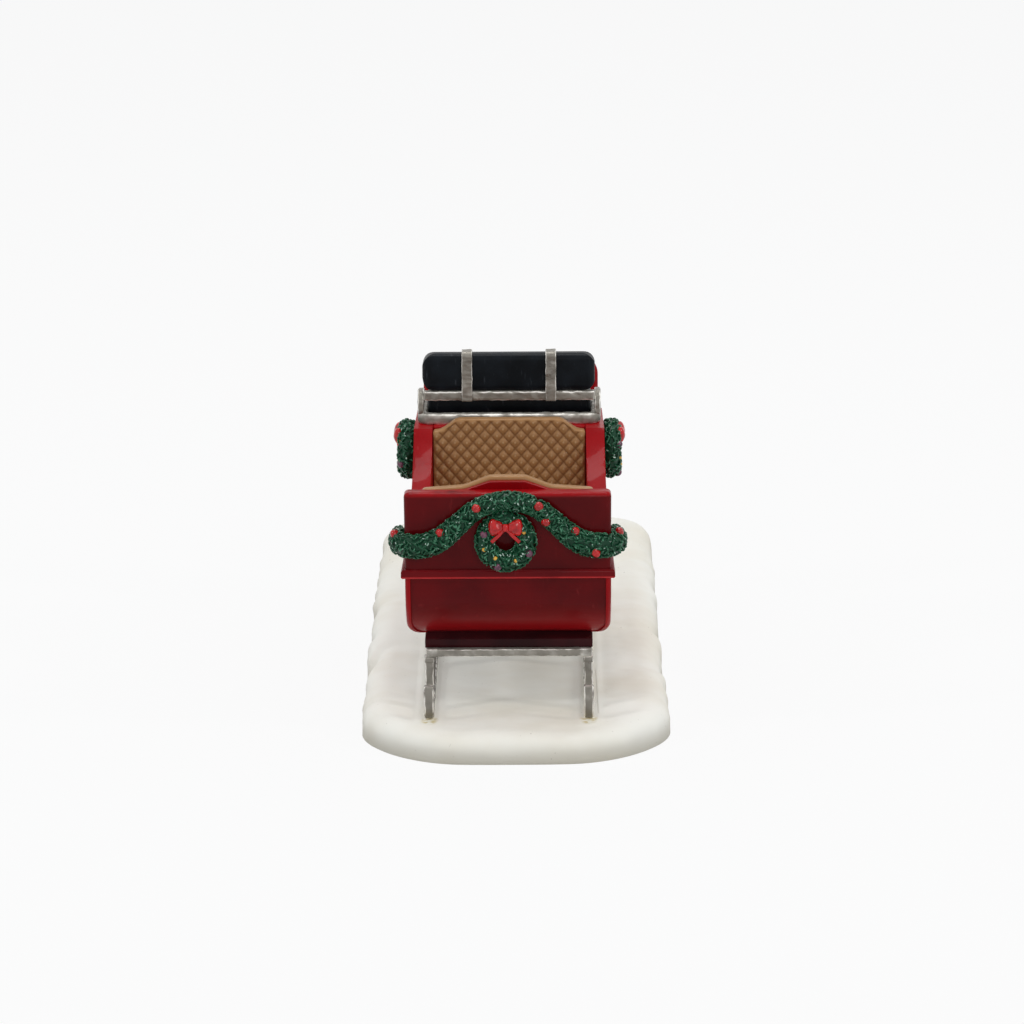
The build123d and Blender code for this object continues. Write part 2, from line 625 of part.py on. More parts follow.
def garland_berries():
    """The berries, half sunk in the garland's outside."""
    berries = []
    for across_by, tilt in GARLAND_BERRIES:
        middle_point, outwards = garland_spot(across_by)
        turn = radians(tilt)
        out = Vector(0, 0, 1) * cos(turn) + outwards * sin(turn)
        berries.append(Location(middle_point + out * GARLAND_RADIUS) * Sphere(BERRY_RADIUS))
    return berries


def garland():
    path = Wire(garland_half(LEFT) + garland_half(RIGHT))
    rope = sweep(Plane(path @ 0, z_dir=path % 0) * Circle(GARLAND_RADIUS), path=path)
    for end in (path @ 0, path @ 1):
        rope = fillet(rope.faces().sort_by_distance(end)[0].edges(), GARLAND_RADIUS / 2)
    rope -= body
    for berry in garland_berries():
        rope -= berry
    return rope


def wreath():
    """A ring of foliage that lies flat against what is behind it, which is towards +Y."""
    return Rot(90, 0, 0) * Torus(WREATH_RING, WREATH_TUBE)


def bow():
    """Two loops, a knot and two tails, to lie on a wreath's front at the top of its hole."""
    half, wide = BOW_SPAN / 2, BOW_LOOP / 2
    outline = Circle(BOW_KNOT)
    for side in SIDES.values():
        loop = make_face(Polyline((0, 0), (side * half, wide), (side * half, -wide), close=True))
        outline += fillet(loop.vertices().filter_by(lambda v: abs(v.X) > 0.5 * half), BOW_ROUNDING)
        outline += Rot(0, 0, side * BOW_TAIL_SPLAY) * Pos(0, -BOW_TAIL / 2) * Rectangle(BOW_TAIL_WIDTH, BOW_TAIL)
    front = -WREATH_TUBE + BOW_SUNK - BOW_DEPTH
    return Pos(0, 0, WREATH_RING - BOW_LOOP / 4) * lengthwise(outline, front, front + BOW_DEPTH)


wreath_places = {
    "rear": Pos(0, rear_face(REAR_WREATH_HEIGHT) - WREATH_STAND, REAR_WREATH_HEIGHT),
    "left": Pos(-half_width(SIDE_WREATH_FORWARD) - WREATH_STAND, SIDE_WREATH_FORWARD, SIDE_WREATH_HEIGHT)
    * Rot(0, 0, -90),
    "right": Pos(half_width(SIDE_WREATH_FORWARD) + WREATH_STAND, SIDE_WREATH_FORWARD, SIDE_WREATH_HEIGHT)
    * Rot(0, 0, 90),
}


pieces = {"snow_plinth": snow_plinth()}
for name, side in SIDES.items():
    pieces[f"runner_{name}"] = runner(side)
for station, forward in KNEE_STATIONS.items():
    for name, side in SIDES.items():
        pieces[f"knee_{station}_{name}"] = knee(forward, side)
    pieces[f"crossbar_{station}"] = crossbar(forward)
pieces["sill_board"] = sill_board()
pieces["draft_bar"] = draft_bar()
for name, side in SIDES.items():
    pieces[f"shaft_{name}"] = shaft(side)
pieces["shaft_yoke"] = shaft_yoke()
pieces |= side_panels()
pieces["rear_panel"] = rear_panel()
pieces["floor_board"] = floor_board()
pieces["dash"] = dash()
pieces["belt_moulding"] = belt_moulding()
pieces["rear_seat_base"] = seat_base(0, REAR_SEAT_FRONT) - rear_boards(-PANEL_SET)
pieces["rear_seat_cushion"] = rear_cushion()
pieces["rear_crest_board"] = rear_back_layer(PANEL, PANEL + CREST_BOARD, 0)
pieces["rear_seat_back"] = rear_back_layer(PANEL + CREST_BOARD, BACK_DEPTH, TRIM_RISE)
pieces["front_seat_base"] = seat_base(FRONT_SEAT_FRONT, BOX_REAR)
pieces["front_seat_cushion"] = front_cushion()
pieces["front_seat_back"] = front_back()
pieces["box_base"] = box_base()
pieces["box_lower_rail"] = lower_rail()
pieces["box_cushion"] = box_cushion()
pieces["box_upper_rail"] = upper_rail()
pieces["box_back"] = box_back()
for name, side in SIDES.items():
    pieces[f"box_strap_{name}"] = strap(side)
    pieces[f"box_arm_{name}"] = arm(side)
pieces["rear_garland"] = garland()
pieces["garland_berries"] = Compound(garland_berries())
for name, place in wreath_places.items():
    pieces[f"wreath_{name}"] = place * wreath() - body
    pieces[f"bow_{name}"] = place * (bow() - wreath())

# The plinth is drawn in place; the sleigh is set down on it.
os.makedirs("parts", exist_ok=True)
placed = Pos(SLEIGH_X, TAIL_INSET - PLINTH_LENGTH / 2, SNOW_TOP)
for name, piece in pieces.items():
    export_step(piece if name == "snow_plinth" else placed * piece, f"parts/{name}.step")
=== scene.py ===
import bmesh
import bpy
import numpy as np
from mathutils import Matrix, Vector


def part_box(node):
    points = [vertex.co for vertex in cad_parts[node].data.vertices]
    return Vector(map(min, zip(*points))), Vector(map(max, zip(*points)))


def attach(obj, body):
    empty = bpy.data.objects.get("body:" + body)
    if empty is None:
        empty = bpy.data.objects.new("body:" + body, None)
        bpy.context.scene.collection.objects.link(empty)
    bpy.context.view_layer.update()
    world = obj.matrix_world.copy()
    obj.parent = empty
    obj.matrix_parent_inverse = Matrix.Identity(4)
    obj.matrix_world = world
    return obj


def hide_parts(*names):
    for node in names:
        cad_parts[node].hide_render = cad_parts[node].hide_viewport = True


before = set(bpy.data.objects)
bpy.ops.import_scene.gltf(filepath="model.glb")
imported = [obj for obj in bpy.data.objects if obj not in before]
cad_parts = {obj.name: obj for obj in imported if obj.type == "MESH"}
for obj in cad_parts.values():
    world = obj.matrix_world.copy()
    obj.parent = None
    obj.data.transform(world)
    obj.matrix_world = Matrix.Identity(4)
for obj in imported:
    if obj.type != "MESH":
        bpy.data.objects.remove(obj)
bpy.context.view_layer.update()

# Snow plinth. A long slab of cast resin, painted as trodden snow. Its rim is rounded, its sides are soft
# overlapping drifts, and the runners stand in two shallow tracks with a little glue at their feet.
MM = 0.001
PLINTH_LOW, PLINTH_HIGH = (np.array(corner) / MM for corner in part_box("snow_plinth"))
LEFT_LOW = np.array(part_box("runner_left")[0]) / MM
RIGHT_HIGH = np.array(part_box("runner_right")[1]) / MM
# The sleigh is drawn from here: forward and up from its runners' tails, on its own centre line.
TAIL = np.array([(LEFT_LOW[0] + RIGHT_HIGH[0]) / 2, LEFT_LOW[1], LEFT_LOW[2]])
RUNNER_X = 19.35
SNOW_CORNER, SNOW_PINCH = 25.0, 1.3  # rounding in plan, and how much narrower each side is at the far end
RIM_IN, RIM_DOWN = 6.5, 5.2
DRIFTS = [  # side, place along the plinth, slant, step between the two drifts
    (-1, -36.0, 2.6, 1.6), (-1, -14.0, -1.2, 0.6), (-1, 22.0, 1.2, 0.6), (-1, 70.0, -0.8, 0.5),
    (1, -48.0, -1.6, 0.6), (1, -11.0, -1.4, 0.65), (1, 42.0, 1.0, 0.4), (1, 84.0, 0.8, 0.5),
]


class Signal:
    """One output of a paint's nodes. Arithmetic on it adds Math nodes."""

    def __init__(self, paint, socket):
        self.paint, self.socket = paint, socket

    def math(self, operation, *values):
        return self.paint.node("Math", {"operation": operation}, dict(enumerate(values)))

    def __add__(self, other):
        return self.math("ADD", self, other)

    def __sub__(self, other):
        return self.math("SUBTRACT", self, other)

    def __rsub__(self, other):
        return self.math("SUBTRACT", other, self)

    def __mul__(self, other):
        return self.math("MULTIPLY", self, other)

    def __abs__(self):
        return self.math("ABSOLUTE", self)

    __radd__, __rmul__ = __add__, __mul__

    def ramp(self, low, high):
        """0 below low, 1 above high and a smooth step between them."""
        return self.paint.node("MapRange", {"interpolation_type": "SMOOTHSTEP"},
                               {"Value": self, "From Min": low, "From Max": high})


class Paint:
    """A material whose nodes all come from its node method."""

    def __init__(self, name, uniform):
        self.material = bpy.data.materials.new(name)
        self.material.use_nodes = True
        self.tree = self.material.node_tree
        self.shader = self.tree.nodes["Principled BSDF"]
        for socket, value in uniform.items():
            self.shader.inputs[socket].default_value = value
        self.place = self.node("TexCoord", output="Object")

    def node(self, kind, settings=None, inputs=None, output=0):
        node = self.tree.nodes.new("ShaderNode" + kind)
        for key, value in (settings or {}).items():
            setattr(node, key, value)
        for key, value in (inputs or {}).items():
            if isinstance(value, Signal):
                self.tree.links.new(value.socket, node.inputs[key])
            else:
                node.inputs[key].default_value = value
        return Signal(self, node.outputs[output])

    def noise(self, size, detail=3.0, stretch=(1.0, 1.0, 1.0), shift=0.0):
        """Smooth noise from 0 to 1 with lumps of that size in millimetres."""
        spot = self.node("Mapping", None, {"Vector": self.place, "Scale": stretch, "Location": (shift,) * 3})
        return self.node("TexNoise", None, {"Vector": spot, "Scale": 1 / (size * MM), "Detail": detail})

    def blend(self, share, first, second):
        """A colour between two, by a share from 0 to 1."""
        return self.node("Mix", {"data_type": "RGBA"}, {0: share, 6: first, 7: second}, output=2)

    def finish(self, colour, roughness, height, relief, coat=None):
        """Feeds the shader. Height is a bump from 0 to 1, and relief its depth in millimetres."""
        bump = self.node("Bump", None, {"Height": height, "Distance": relief * MM, "Strength": 1.0})
        fed = {"Base Color": colour, "Roughness": roughness, "Normal": bump}
        if coat is not None:
            fed["Coat Weight"] = coat
        for key, value in fed.items():
            self.tree.links.new(value.socket, self.shader.inputs[key])
        return self.material


def tone(red, green, blue):
    """A paint colour from its screen values, from 0 to 255."""
    screen = np.array([red, green, blue]) / 255
    linear = np.where(screen <= 0.04045, screen / 12.92, ((screen + 0.055) / 1.055) ** 2.4)
    return (*linear.tolist(), 1.0)


def sway(points, size, seed, waves=9):
    """A smooth random field from about -1 to 1: the mean of sine waves of one length in random directions."""
    random = np.random.default_rng(seed)
    ways = random.normal(size=(waves, 3))
    ways *= 2 * np.pi / size / np.linalg.norm(ways, axis=1, keepdims=True)
    phases = random.uniform(0, 2 * np.pi, waves)
    return np.sin(points @ ways.T + phases).sum(-1) / np.sqrt(waves) / 1.2


def skin(name, grid, paint, slot, nodes=(), loop=False, fans=True, origin=TAIL, **fields):
    """Closed meshes over a grid of points (pieces, rings, round each ring, xyz), in millimetres from the
    origin. Each ring is joined to the next. The end rings are closed by fans, or joined in a loop."""
    grid = np.asarray(grid, float)
    grid = grid[None] if grid.ndim == 3 else grid
    pieces, rings, around = grid.shape[:3]
    spots = np.arange(pieces * rings * around).reshape(pieces, rings, around)
    after = np.roll(spots, -1, 2)
    last = rings if loop else rings - 1
    rows = spots, after, np.roll(after, -1, 1), np.roll(spots, -1, 1)
    quads = np.stack([row[:, :last] for row in rows], -1).reshape(-1, 4)
    points, triangles = grid.reshape(-1, 3), np.zeros((0, 3), int)
    fans = fans and not loop
    if fans:
        ends = grid[:, [0, -1]].mean(2).reshape(-1, 3)
        tips = len(points) + np.arange(2 * pieces).reshape(pieces, 2, 1)
        points = np.concatenate([points, ends])
        start = np.stack([np.broadcast_to(tips[:, 0], (pieces, around)), after[:, 0], spots[:, 0]], -1)
        stop = np.stack([np.broadcast_to(tips[:, 1], (pieces, around)), spots[:, -1], after[:, -1]], -1)
        triangles = np.concatenate([start.reshape(-1, 3), stop.reshape(-1, 3)])
    solid = np.concatenate([quads[:, [0, 1, 2]], quads[:, [0, 2, 3]], triangles])
    corners = points[solid]
    if np.einsum("ij,ij->", corners[:, 0], np.cross(corners[:, 1], corners[:, 2])) < 0:
        quads, triangles = quads[:, ::-1], triangles[:, ::-1]
    mesh = bpy.data.meshes.new(name)
    mesh.vertices.add(len(points))
    mesh.vertices.foreach_set("co", ((points + origin) * MM).astype(np.float32).ravel())
    mesh.loops.add(quads.size + triangles.size)
    turns = np.concatenate([quads.ravel(), triangles.ravel()])
    mesh.loops.foreach_set("vertex_index", turns.astype(np.int32))
    mesh.polygons.add(len(quads) + len(triangles))
    starts = np.concatenate([np.arange(len(quads)) * 4, quads.size + np.arange(len(triangles)) * 3])
    mesh.polygons.foreach_set("loop_start", starts.astype(np.int32))
    mesh.update(calc_edges=True)
    mesh.polygons.foreach_set("use_smooth", np.ones(len(mesh.polygons), bool))
    for key, values in fields.items():
        values = np.broadcast_to(values, grid.shape[:3])
        spread = [values.ravel(), values[:, [0, -1]].mean(2).ravel()][:2 if fans else 1]
        field = mesh.attributes.new(key, "FLOAT", "POINT")
        field.data.foreach_set("value", np.concatenate(spread).astype(np.float32))
    mesh.materials.append(paint)
    piece = bpy.data.objects.new(name, mesh)
    bpy.context.scene.collection.objects.link(piece)
    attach(piece, "root")
    if nodes:
        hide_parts(*nodes)
    return piece


def snow_height(x, y):
    """Height of the snow: a parabola across, with rolling lumps from three sways. Along both tracks it is
    levelled to the runners' feet by a bell curve, and a small lip runs beside them."""
    flat = np.stack([x, y, 0 * x], -1)
    snow = PLINTH_HIGH[2] - 1.75 + ((x - TAIL[0]) / 34) ** 2 * 1.15
    snow = snow + 0.26 * sway(flat, 31, 3) + 0.12 * sway(flat, 11, 4) + 0.035 * sway(flat, 4.2, 5)
    from_track = np.abs(np.abs(x - TAIL[0]) - RUNNER_X)
    beyond = np.maximum(TAIL[1] - 1 - y, y - (TAIL[1] + 104))
    away = np.hypot(from_track, np.maximum(beyond, 0))
    level = np.exp(-(away / 3.4) ** 2)
    lip = 0.3 * np.exp(-((away - 2.3) / 0.8) ** 2)
    snow = snow * (1 - level) + (TAIL[2] - 0.05) * level + lip
    return np.minimum(snow, PLINTH_HIGH[2] - 0.03)


def distances(points):
    """The distance run from the first point to each point."""
    return np.concatenate([[0], np.cumsum(np.linalg.norm(np.diff(points, axis=0), axis=1))])


def between(at, run, rows):
    """Rows read off at places along a run, straight from each row to the next."""
    return np.stack([np.interp(at, run, column) for column in rows.T], -1)


def snow_sheet():
    """Rings that start under the plinth, come out to its edge, rise round its rim and close over its spine.
    Going inwards, each point moves straight from the outline to the nearest point of the spine, where it meets
    the point from the other side. The rim is dented by two sways, and pressed in and down by the drifts."""
    x1, y0, y1 = PLINTH_HIGH[0], PLINTH_LOW[1], PLINTH_HIGH[1]
    turn = np.linspace(0, np.pi / 2, 40)
    near, far = x1 - SNOW_CORNER, x1 - SNOW_CORNER - SNOW_PINCH
    low, high = y0 + SNOW_CORNER, y1 - SNOW_CORNER
    outline = [[(0, y0)]]
    for mx, my, start in ((near, low, -90), (far, high, 0), (-far, high, 90), (-near, low, 180)):
        angle = turn + np.radians(start)
        outline.append((mx, my) + SNOW_CORNER * np.stack([np.cos(angle), np.sin(angle)], -1))
    outline = np.concatenate([*outline, [(0, y0)]])
    run = distances(outline)
    at = np.linspace(0, run[-1], 560, endpoint=False)
    edge = between(at, run, outline)
    spine = np.stack([0 * at, np.clip(edge[:, 1], y0 + x1, y1 - x1)], -1)
    tail_end = np.clip(1 - (edge[:, 1] - y0) / 60, 0, 1)
    edge[:, 1] += 5.5 * tail_end * np.clip((edge[:, 0] - 2) / 36, 0, 1) ** 2.2
    edge[:, 1] += 4.2 * tail_end * np.clip((-edge[:, 0] - 4) / 34, 0, 1) ** 2.2
    reach = np.linalg.norm(edge - spine, axis=1)[:, None]
    inward = (spine - edge) / reach
    # Each ring is (distance in from the outline, share of the way from there to the spine, height on the rim)
    roll = np.linspace(0, np.pi / 2, 13)
    wall = [(0.9, 0, -1), (0.3, 0, -0.9)] + [(RIM_IN * (1 - np.cos(a)), 0, np.sin(a)) for a in roll]
    rings = [(0.9, share, -1) for share in (1, 0.6, 0.25)] + wall + [
        (RIM_IN, share, 1) for share in np.linspace(0, 1, 52)[1:]]
    length, share, lift = (np.array(column)[:, None] for column in zip(*rings))
    inset = length + share * (reach[:, 0] - length)
    spot = edge + inset[..., None] * inward
    top = snow_height(spot[..., 0], spot[..., 1])
    brink = top - RIM_DOWN
    height = np.where(lift < 0, np.where(lift > -1, 0.3, 0.0), brink + np.maximum(lift, 0) * RIM_DOWN)
    mark = np.concatenate([np.broadcast_to(spot, (*height.shape, 2)), height[..., None]], -1)
    above = np.clip(height / 2.0, 0, 1)
    press = 0.28 * (1 - sway(mark, 13, 8)) + 0.1 * (1 - sway(mark, 4.5, 9))

    def drift(side, along, slant, step, width):
        """A step over a slanted line: a tanh across it, inside a bell of the width, on one side's rim."""
        over = spot[..., 1] - along - slant * (height - 4)
        bell = np.exp(-(over / width) ** 2) * (spot[..., 0] * side > 20)
        return bell * step * (0.5 + 0.5 * np.tanh(-over * np.sign(slant) / 1.1))

    for row in DRIFTS:
        press = press + drift(*row, 15)
    sunk = np.exp(-(np.maximum(inset - RIM_IN, 0) / 5.0) ** 2)
    spot = spot + inward * (press * above * sunk * (share <= 0.2))[..., None]
    for row in DRIFTS:
        height = height - (lift > 0) * 0.5 * sunk * drift(*row, 11)
    away = np.clip((spot[..., 1] - y0) / 110, 0, 1)
    spot = spot - (1.0 * away ** 2 * (3 - 2 * away) * sunk)[..., None] * np.array([1.0, 0.0])
    return np.concatenate([spot, height[..., None]], -1)


def snow_paint():
    """Warm white resin, creamier in patches and darker low on the rim as painted shade, with a few specks, a
    faint scored line on the right and stained glue round the runners' feet."""
    paint = Paint("snow_resin", {"Specular IOR Level": 0.15})
    x, y, z = (paint.node("SeparateXYZ", None, {0: paint.place}, output=k) for k in range(3))
    cream = paint.noise(26, 4).ramp(0.35, 0.75)
    colour = paint.blend(cream * 0.7, tone(242, 241, 233), tone(228, 222, 206))
    # Painted shade: low on the rim the snow turns grey beige.
    low = 1 - z.ramp(0.0005, 0.0062)
    colour = paint.blend(low * 0.6, colour, tone(176, 170, 154))
    across = abs(abs(x - TAIL[0] * MM) - RUNNER_X * MM)
    foot = abs(y - (TAIL[1] + 1.5) * MM)
    glue = (1 - (across * across + foot * foot * 0.35).ramp(0.0, 6.5e-6)) * paint.noise(1.6, 3).ramp(0.4, 0.62)
    colour = paint.blend(glue * 0.8, colour, tone(190, 168, 96))
    line_x = abs(x - (TAIL[0] + 21.7) * MM - (y - TAIL[1] * MM) * -0.012)
    score = (1 - line_x.ramp(0.00008, 0.0002)) * y.ramp(-0.0935, -0.092) * (1 - y.ramp(-0.055, -0.05))
    colour = paint.blend(score * 0.35, colour, tone(176, 168, 150))
    specks = paint.noise(0.7, 1.0, shift=2.0).ramp(0.76, 0.79) * paint.noise(11, 2, shift=5.0).ramp(0.5, 0.6)
    colour = paint.blend(specks * 0.75, colour, tone(128, 118, 98))
    grain = paint.noise(0.5, 2)
    swell = paint.noise(3.4, 3)
    return paint.finish(colour, 0.42 + 0.25 * paint.noise(5, 2), grain * 0.25 + swell + (1 - score), 0.05)


snow = skin("plinth_snow", snow_sheet(), snow_paint(), "snow_white", ["snow_plinth"], fans=False,
            origin=np.zeros(3))
seam = bmesh.new()
seam.from_mesh(snow.data)
bmesh.ops.remove_doubles(seam, verts=seam.verts, dist=0.000002)
seam.to_mesh(snow.data)
seam.free()

# Runners. Each is one flat strip, stood on edge: it curls up behind, runs along the snow and sweeps up to the
# dash in front. They are cast in metal with a rough skin and painted silver, bright along the edges from rubbed
# wear mixed with painted highlights.
RUNNER_LOW, TAIL_TOP = 1.1, 8.9
NOSE_FORWARD, NOSE_TOP, CURL_END = 123, 31.1, 112.2
RUNNER_ROUTE = [(0, RUNNER_LOW, TAIL_TOP), (0, RUNNER_LOW, RUNNER_LOW), (0, NOSE_FORWARD, RUNNER_LOW),
                (0, NOSE_FORWARD, NOSE_TOP), (0, CURL_END, NOSE_TOP)]
RUNNER_BENDS = [2.9, 23, 7]


def unit(vectors):
    return vectors / np.linalg.norm(vectors, axis=-1, keepdims=True)


def route(corners, radii, step=0.35):
    """Points a step apart along straight stretches, with an arc of its own radius at each inner corner."""
    corners = np.array(corners, float)
    stretches = [corners[:1]]
    for before, corner, after, radius in zip(corners, corners[1:], corners[2:], radii):
        back, on = unit(before - corner), unit(after - corner)
        half = np.arccos(back @ on) / 2
        middle = corner + unit(back + on) * radius / np.sin(half)
        swing = np.linspace(half - np.pi / 2, np.pi / 2 - half, 24)[:, None]
        stretches.append(middle + radius * (np.sin(swing) * unit(on - back) - np.cos(swing) * unit(back + on)))
    points = np.concatenate(stretches + [corners[-1:]])
    run = distances(points)
    return between(np.linspace(0, run[-1], int(run[-1] / step) + 1), run, points)


def bar(low, high, radius, steps, curve=4):
    """Rings on a box with rounded edges, from its low to its high corner, and how near each point is to an
    edge. The rings stand across the first axis. At both ends they draw in as a quarter circle does."""
    low, high = np.array(low, float), np.array(high, float)
    quarter = np.linspace(0, np.pi / 2, curve + 1)
    centres = np.array([(high[1], high[2]), (low[1], high[2]), (low[1], low[2]), (high[1], low[2])])
    centres = centres + radius * np.array([(-1, -1), (1, -1), (1, 1), (-1, 1)])
    middles, ways, edge = [], [], []
    for k in range(4):
        turn = quarter + k * np.pi / 2
        middles.append(np.repeat(centres[k][None], curve + 1, 0))
        ways.append(np.stack([np.cos(turn), np.sin(turn)], -1))
        edge.append(np.sin(2 * quarter))
        count = steps[1] if k % 2 == 0 else steps[2]
        share = np.linspace(0, 1, count + 1)[1:-1, None]
        middles.append(centres[k] * (1 - share) + centres[(k + 1) % 4] * share)
        ways.append(np.repeat(ways[-1][-1:], len(share), 0))
        edge.append(np.zeros(len(share)))
    middles, ways, edge = np.concatenate(middles), np.concatenate(ways), np.concatenate(edge)
    size = np.concatenate([radius * np.cos(quarter[:0:-1]), np.full(steps[0] + 1, radius),
                           radius * np.cos(quarter[1:])])
    along = np.concatenate([low[0] + radius * (1 - np.sin(quarter[:0:-1])),
                            np.linspace(low[0] + radius, high[0] - radius, steps[0] + 1),
                            high[0] - radius * (1 - np.sin(quarter[1:]))])
    ring = middles[None] + size[:, None, None] * ways[None]
    rub = np.maximum(edge[None], 1 - (size / radius)[:, None])
    return np.concatenate([np.repeat(along[:, None, None], len(middles), 1), ring], -1), rub


def carried(grid, path, side=(1, 0, 0)):
    """Carries a straight bar's grid along a path. Its first value is the distance along the path, its second
    goes along the side direction, and its third at right angles to both."""
    run = distances(path)
    along = np.clip(grid[..., 0], 0, run[-1])
    spot = between(along, run, path)
    ahead = unit(between(along, run, unit(np.gradient(path, run, axis=0))))
    across = unit(side - (ahead @ np.array(side, float))[..., None] * ahead)
    spot = spot + (grid[..., 0] - along)[..., None] * ahead
    return spot + grid[..., 1:2] * across + grid[..., 2:3] * np.cross(across, ahead)


def length_of(path):
    return np.linalg.norm(np.diff(path, axis=0), axis=1).sum()


def silver_paint():
    """Silver paint over a rough casting: grey with fine dark pits, lighter in patches and near white along the
    edges, where rubbed wear is mixed with painted highlights.
    """
    paint = Paint("silver_paint", {"Metallic": 0.7, "Specular IOR Level": 0.3})
    rub = paint.node("Attribute", {"attribute_name": "rub"}, output="Fac")
    patch = paint.noise(2.4, 4).ramp(0.34, 0.7)
    worn_and_highlight = rub * paint.noise(3.0, 4, shift=5.0).ramp(0.3, 0.6)
    # Painted highlight mixed with real wear: the patches and the edges turn towards near white.
    highlight_and_wear = (patch * 0.24 + worn_and_highlight * 0.85).ramp(0.06, 0.9)
    colour = paint.blend(highlight_and_wear, tone(132, 128, 120), tone(234, 231, 224))
    wash = paint.noise(5.0, 3, shift=6.0).ramp(0.4, 0.7)
    colour = paint.blend(wash * (1 - rub) * 0.36, colour, tone(88, 84, 78))
    grime = paint.noise(0.5, 3, shift=1.0).ramp(0.64, 0.76)
    colour = paint.blend(grime * (1 - rub) * 0.3, colour, tone(66, 63, 58))
    relief = paint.noise(0.5, 4, shift=3.0)
    return paint.finish(colour, 0.46 - 0.16 * highlight_and_wear, relief + 0.3 * patch, 0.05)


def rough(points, amount, seed):
    """Moves points a little, as a rough casting does: the same sway in each direction, from shifted fields."""
    return points + amount * np.stack([sway(points, 2.3, seed + k) + 0.5 * sway(points, 1.1, seed + 9 + k)
                                       for k in range(3)], -1)


silver = silver_paint()


def casting(name, grid, amount, seed, rub, nodes=(), loop=False):
    """A piece cast in metal and painted silver: its smooth grid, roughened by an amount in millimetres."""
    return skin(name, rough(grid, amount, seed), silver, "silver_paint", nodes, loop=loop, rub=rub)


SIDES = (("left", -1), ("right", 1))
runner_path = route(RUNNER_ROUTE, RUNNER_BENDS)
runner_grid, runner_rub = bar((0, -1.15, -1.1), (length_of(runner_path), 1.15, 1.1), 0.42, (420, 4, 4))
tail_share = np.exp(-(runner_grid[..., :1] / 5.0) ** 2)
runner_strip = carried(runner_grid * (1 + tail_share * (0, 0.06, -0.05)), runner_path)
for name, side in SIDES:
    casting(f"runner_strip_{name}", runner_strip + (side * RUNNER_X, 0, 0), 0.035, 31 + side, runner_rub,
            [f"runner_{name}"])

# Knees. Six flared posts are cast with the runners and carry the crossbars. Each spreads into a foot on its
# runner and has a square collar under its bar.
KNEES = {"rear": 12.0, "middle": 50.0, "front": 88.0}
KNEE_TOP, KNEE_WAIST, KNEE_FOOT = 13.4, 1.3, 3.0

knee_grid, knee_rub = bar((1.9, -KNEE_WAIST, -1.0), (KNEE_TOP, KNEE_WAIST, 1.0), 0.28, (26, 4, 4))
spread = 1 + (KNEE_FOOT / KNEE_WAIST - 1) * np.clip(1 - (knee_grid[..., 0] - 2.2) / 1.9, 0, 1) ** 2
knee_post = np.stack([knee_grid[..., 2], knee_grid[..., 1] * spread, knee_grid[..., 0]], -1)
collar, collar_rub = bar((12.0, -1.5, -1.16), (KNEE_TOP, 1.5, 1.16), 0.22, (4, 4, 4))
collar_ring = np.stack([collar[..., 2], collar[..., 1], collar[..., 0]], -1)
for station, forward in KNEES.items():
    for name, side in SIDES:
        spot = (side * RUNNER_X, forward, 0)
        seed = int(forward) + side
        casting(f"knee_post_{station}_{name}", knee_post + spot, 0.05, seed, knee_rub,
                [f"knee_{station}_{name}"])
        casting(f"knee_collar_{station}_{name}", collar_ring + spot, 0.03, seed, collar_rub)

# Crossbars. Three square bars lie across the knees, with a square block at each end over its knee. They are
# cast with the knees and painted silver.
CROSSBAR_HALF, CROSSBAR_UP = 20.1, 14.4
crossbar_grid, crossbar_rub = bar((-CROSSBAR_HALF, -1.5, -1.0), (CROSSBAR_HALF, 1.5, 1.0), 0.22, (150, 4, 4))
block_share = np.clip((np.abs(crossbar_grid[..., :1]) - 17.3) / 0.25, 0, 1)
crossbar = crossbar_grid * ((1, 0.9, 0.88) + block_share * (0, 0.1, 0.12))
for station, forward in KNEES.items():
    # The end blocks get part of the silver's edge lightening, rubbed wear mixed with painted highlight.
    casting(f"crossbar_cast_{station}", crossbar + (0, forward, CROSSBAR_UP), 0.045, int(forward),
            np.maximum(crossbar_rub, 0.3 * block_share[..., 0]), [f"crossbar_{station}"])

# Body. The side panels, the rear panel, the floor and the bent dash are painted with deep red gloss; the rear
# panel's red is a darker copy of it, a painted shade. Cast parts keep soft edges, so the plain solids get a
# small rounding here and nothing else.


